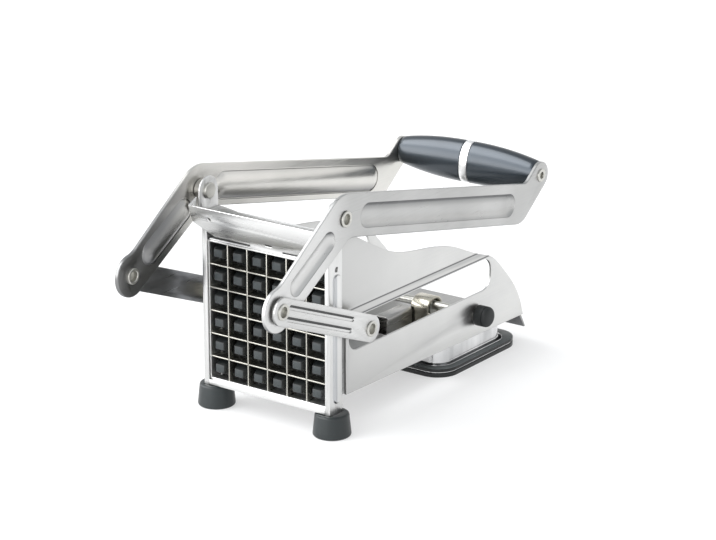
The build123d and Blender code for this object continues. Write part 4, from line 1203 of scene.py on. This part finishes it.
@dataclass
class Studio:
    """Floor, light and camera."""

    floor_size: float = 12.0
    floor_cuts: int = 3
    floor_tone: str = "#bcbcbc"
    floor_roughness: float = 0.9
    floor_specular: float = 0.1
    floor_glow: float = 0.5  # the floor is a lit table, so that shadows stay pale
    camera_place: Triple = (717.09, -977.12, 455.08)
    camera_right: Triple = (0.80979, 0.58672, 0.00055)
    camera_up: Triple = (-0.18203, 0.25035, 0.95089)
    camera_back: Triple = (0.55777, -0.77012, 0.30953)
    lens: float = 130.49
    sensor: float = 36.0
    sun_strength: float = 1.2
    sun_spread: float = 38.0
    sun_from: Triple = (-0.5, -0.4, 0.75)
    world_strength: float = 1.2
    box_strength: float = 5.0  # of the softbox that stands on the left
    box_from: Triple = (-0.6, -0.78, 0.12)
    box_edges: Pair = (0.3, 0.97)             # cosines from its middle, faded out and full
    world: tuple[tuple[float, str], ...] = (  # from straight down to straight up
        (0.0, "#ffffff"),
        (0.495, "#ffffff"),
        (0.502, "#9a9c9e"),
        (0.515, "#ffffff"),
        (0.63, "#ffffff"),
        (0.74, "#d0d2d4"),
        (1.0, "#c4c6c8"),
    )

    def build(self) -> None:
        """Lays the floor, sets the lights and places the camera."""
        deselect()
        bpy.ops.mesh.primitive_plane_add(size=self.floor_size)
        floor = newest("studio_floor")
        with editing(floor):
            bpy.ops.mesh.subdivide(number_cuts=self.floor_cuts)
        material, _ = new_material(
            "matt_lit_table",
            {
                "Base Color": linear(self.floor_tone),
                "Roughness": self.floor_roughness,
                "Specular IOR Level": self.floor_specular,
                "Emission Color": linear("#ffffff"),
                "Emission Strength": self.floor_glow,
            },
        )
        floor.data.materials.append(material)
        self.hang_sun()
        self.light_room()
        self.aim()

    def hang_sun(self) -> None:
        """Hangs a wide soft light above on the left."""
        sun = bpy.data.lights.new("overhead_softbox", "SUN")
        sun.energy = self.sun_strength
        sun.angle = radians(self.sun_spread)
        lamp = bpy.data.objects.new("overhead_softbox", sun)
        bpy.context.scene.collection.objects.link(lamp)
        lamp.rotation_euler = Vector(self.sun_from).to_track_quat("Z", "Y").to_euler()

    def light_room(self) -> None:
        """Makes a pale room, darker in a narrow band at eye level, with a softbox on the left."""
        world = bpy.data.worlds.new("studio")
        bpy.context.scene.world = world
        world.use_nodes = True
        tree = world.node_tree
        way = add_node(tree, "ShaderNodeTexCoord", {}).outputs["Generated"]
        height = add_node(tree, "ShaderNodeSeparateXYZ", {0: way}).outputs["Z"]
        span = {"Value": height, **dict(zip(RANGE, (-1.0, 1.0)))}
        share = add_node(tree, "ShaderNodeMapRange", span).outputs[0]
        ramp = add_node(tree, "ShaderNodeValToRGB", {"Fac": share})
        stops = ramp.color_ramp.elements
        for stop, (place, code) in zip(stops, (self.world[0], self.world[-1])):
            stop.position, stop.color = place, linear(code)
        for place, code in self.world[1:-1]:
            stops.new(place).color = linear(code)
        directions = {0: way, 1: Vector(self.box_from).normalized()}
        facing = add_node(tree, "ShaderNodeVectorMath", directions, operation="DOT_PRODUCT")
        ends = (*self.box_edges, self.world_strength, self.box_strength)
        span = {"Value": facing.outputs["Value"], **dict(zip(RANGE, ends))}
        strength = add_node(tree, "ShaderNodeMapRange", span, interpolation_type="SMOOTHSTEP")
        background = tree.nodes["Background"]
        tree.links.new(ramp.outputs["Color"], background.inputs["Color"])
        tree.links.new(strength.outputs[0], background.inputs["Strength"])

    def aim(self) -> None:
        """Sets the camera and the plain colour transform."""
        data = bpy.data.cameras.new("camera")
        data.lens = self.lens
        data.sensor_width = self.sensor
        camera = bpy.data.objects.new("camera", data)
        bpy.context.scene.collection.objects.link(camera)
        axes = Matrix((self.camera_right, self.camera_up, self.camera_back)).transposed().to_4x4()
        camera.matrix_world = Matrix.Translation(Vector(self.camera_place) * MM) @ axes
        bpy.context.scene.camera = camera
        bpy.context.scene.view_settings.view_transform = "Standard"


def main() -> None:
    """Builds and dresses each sub-assembly in order, and the studio round them."""
    logging.basicConfig(level=logging.INFO, format="%(message)s")
    for part in (Body(), BladeInsert(), Lever(), Drive(), SuctionMount()):
        part.build()
        part.dress()
        log.info("%s is ready", type(part).__name__)
    Studio().build()
    bpy.context.view_layer.update()


if __name__ == "__main__":
    main()
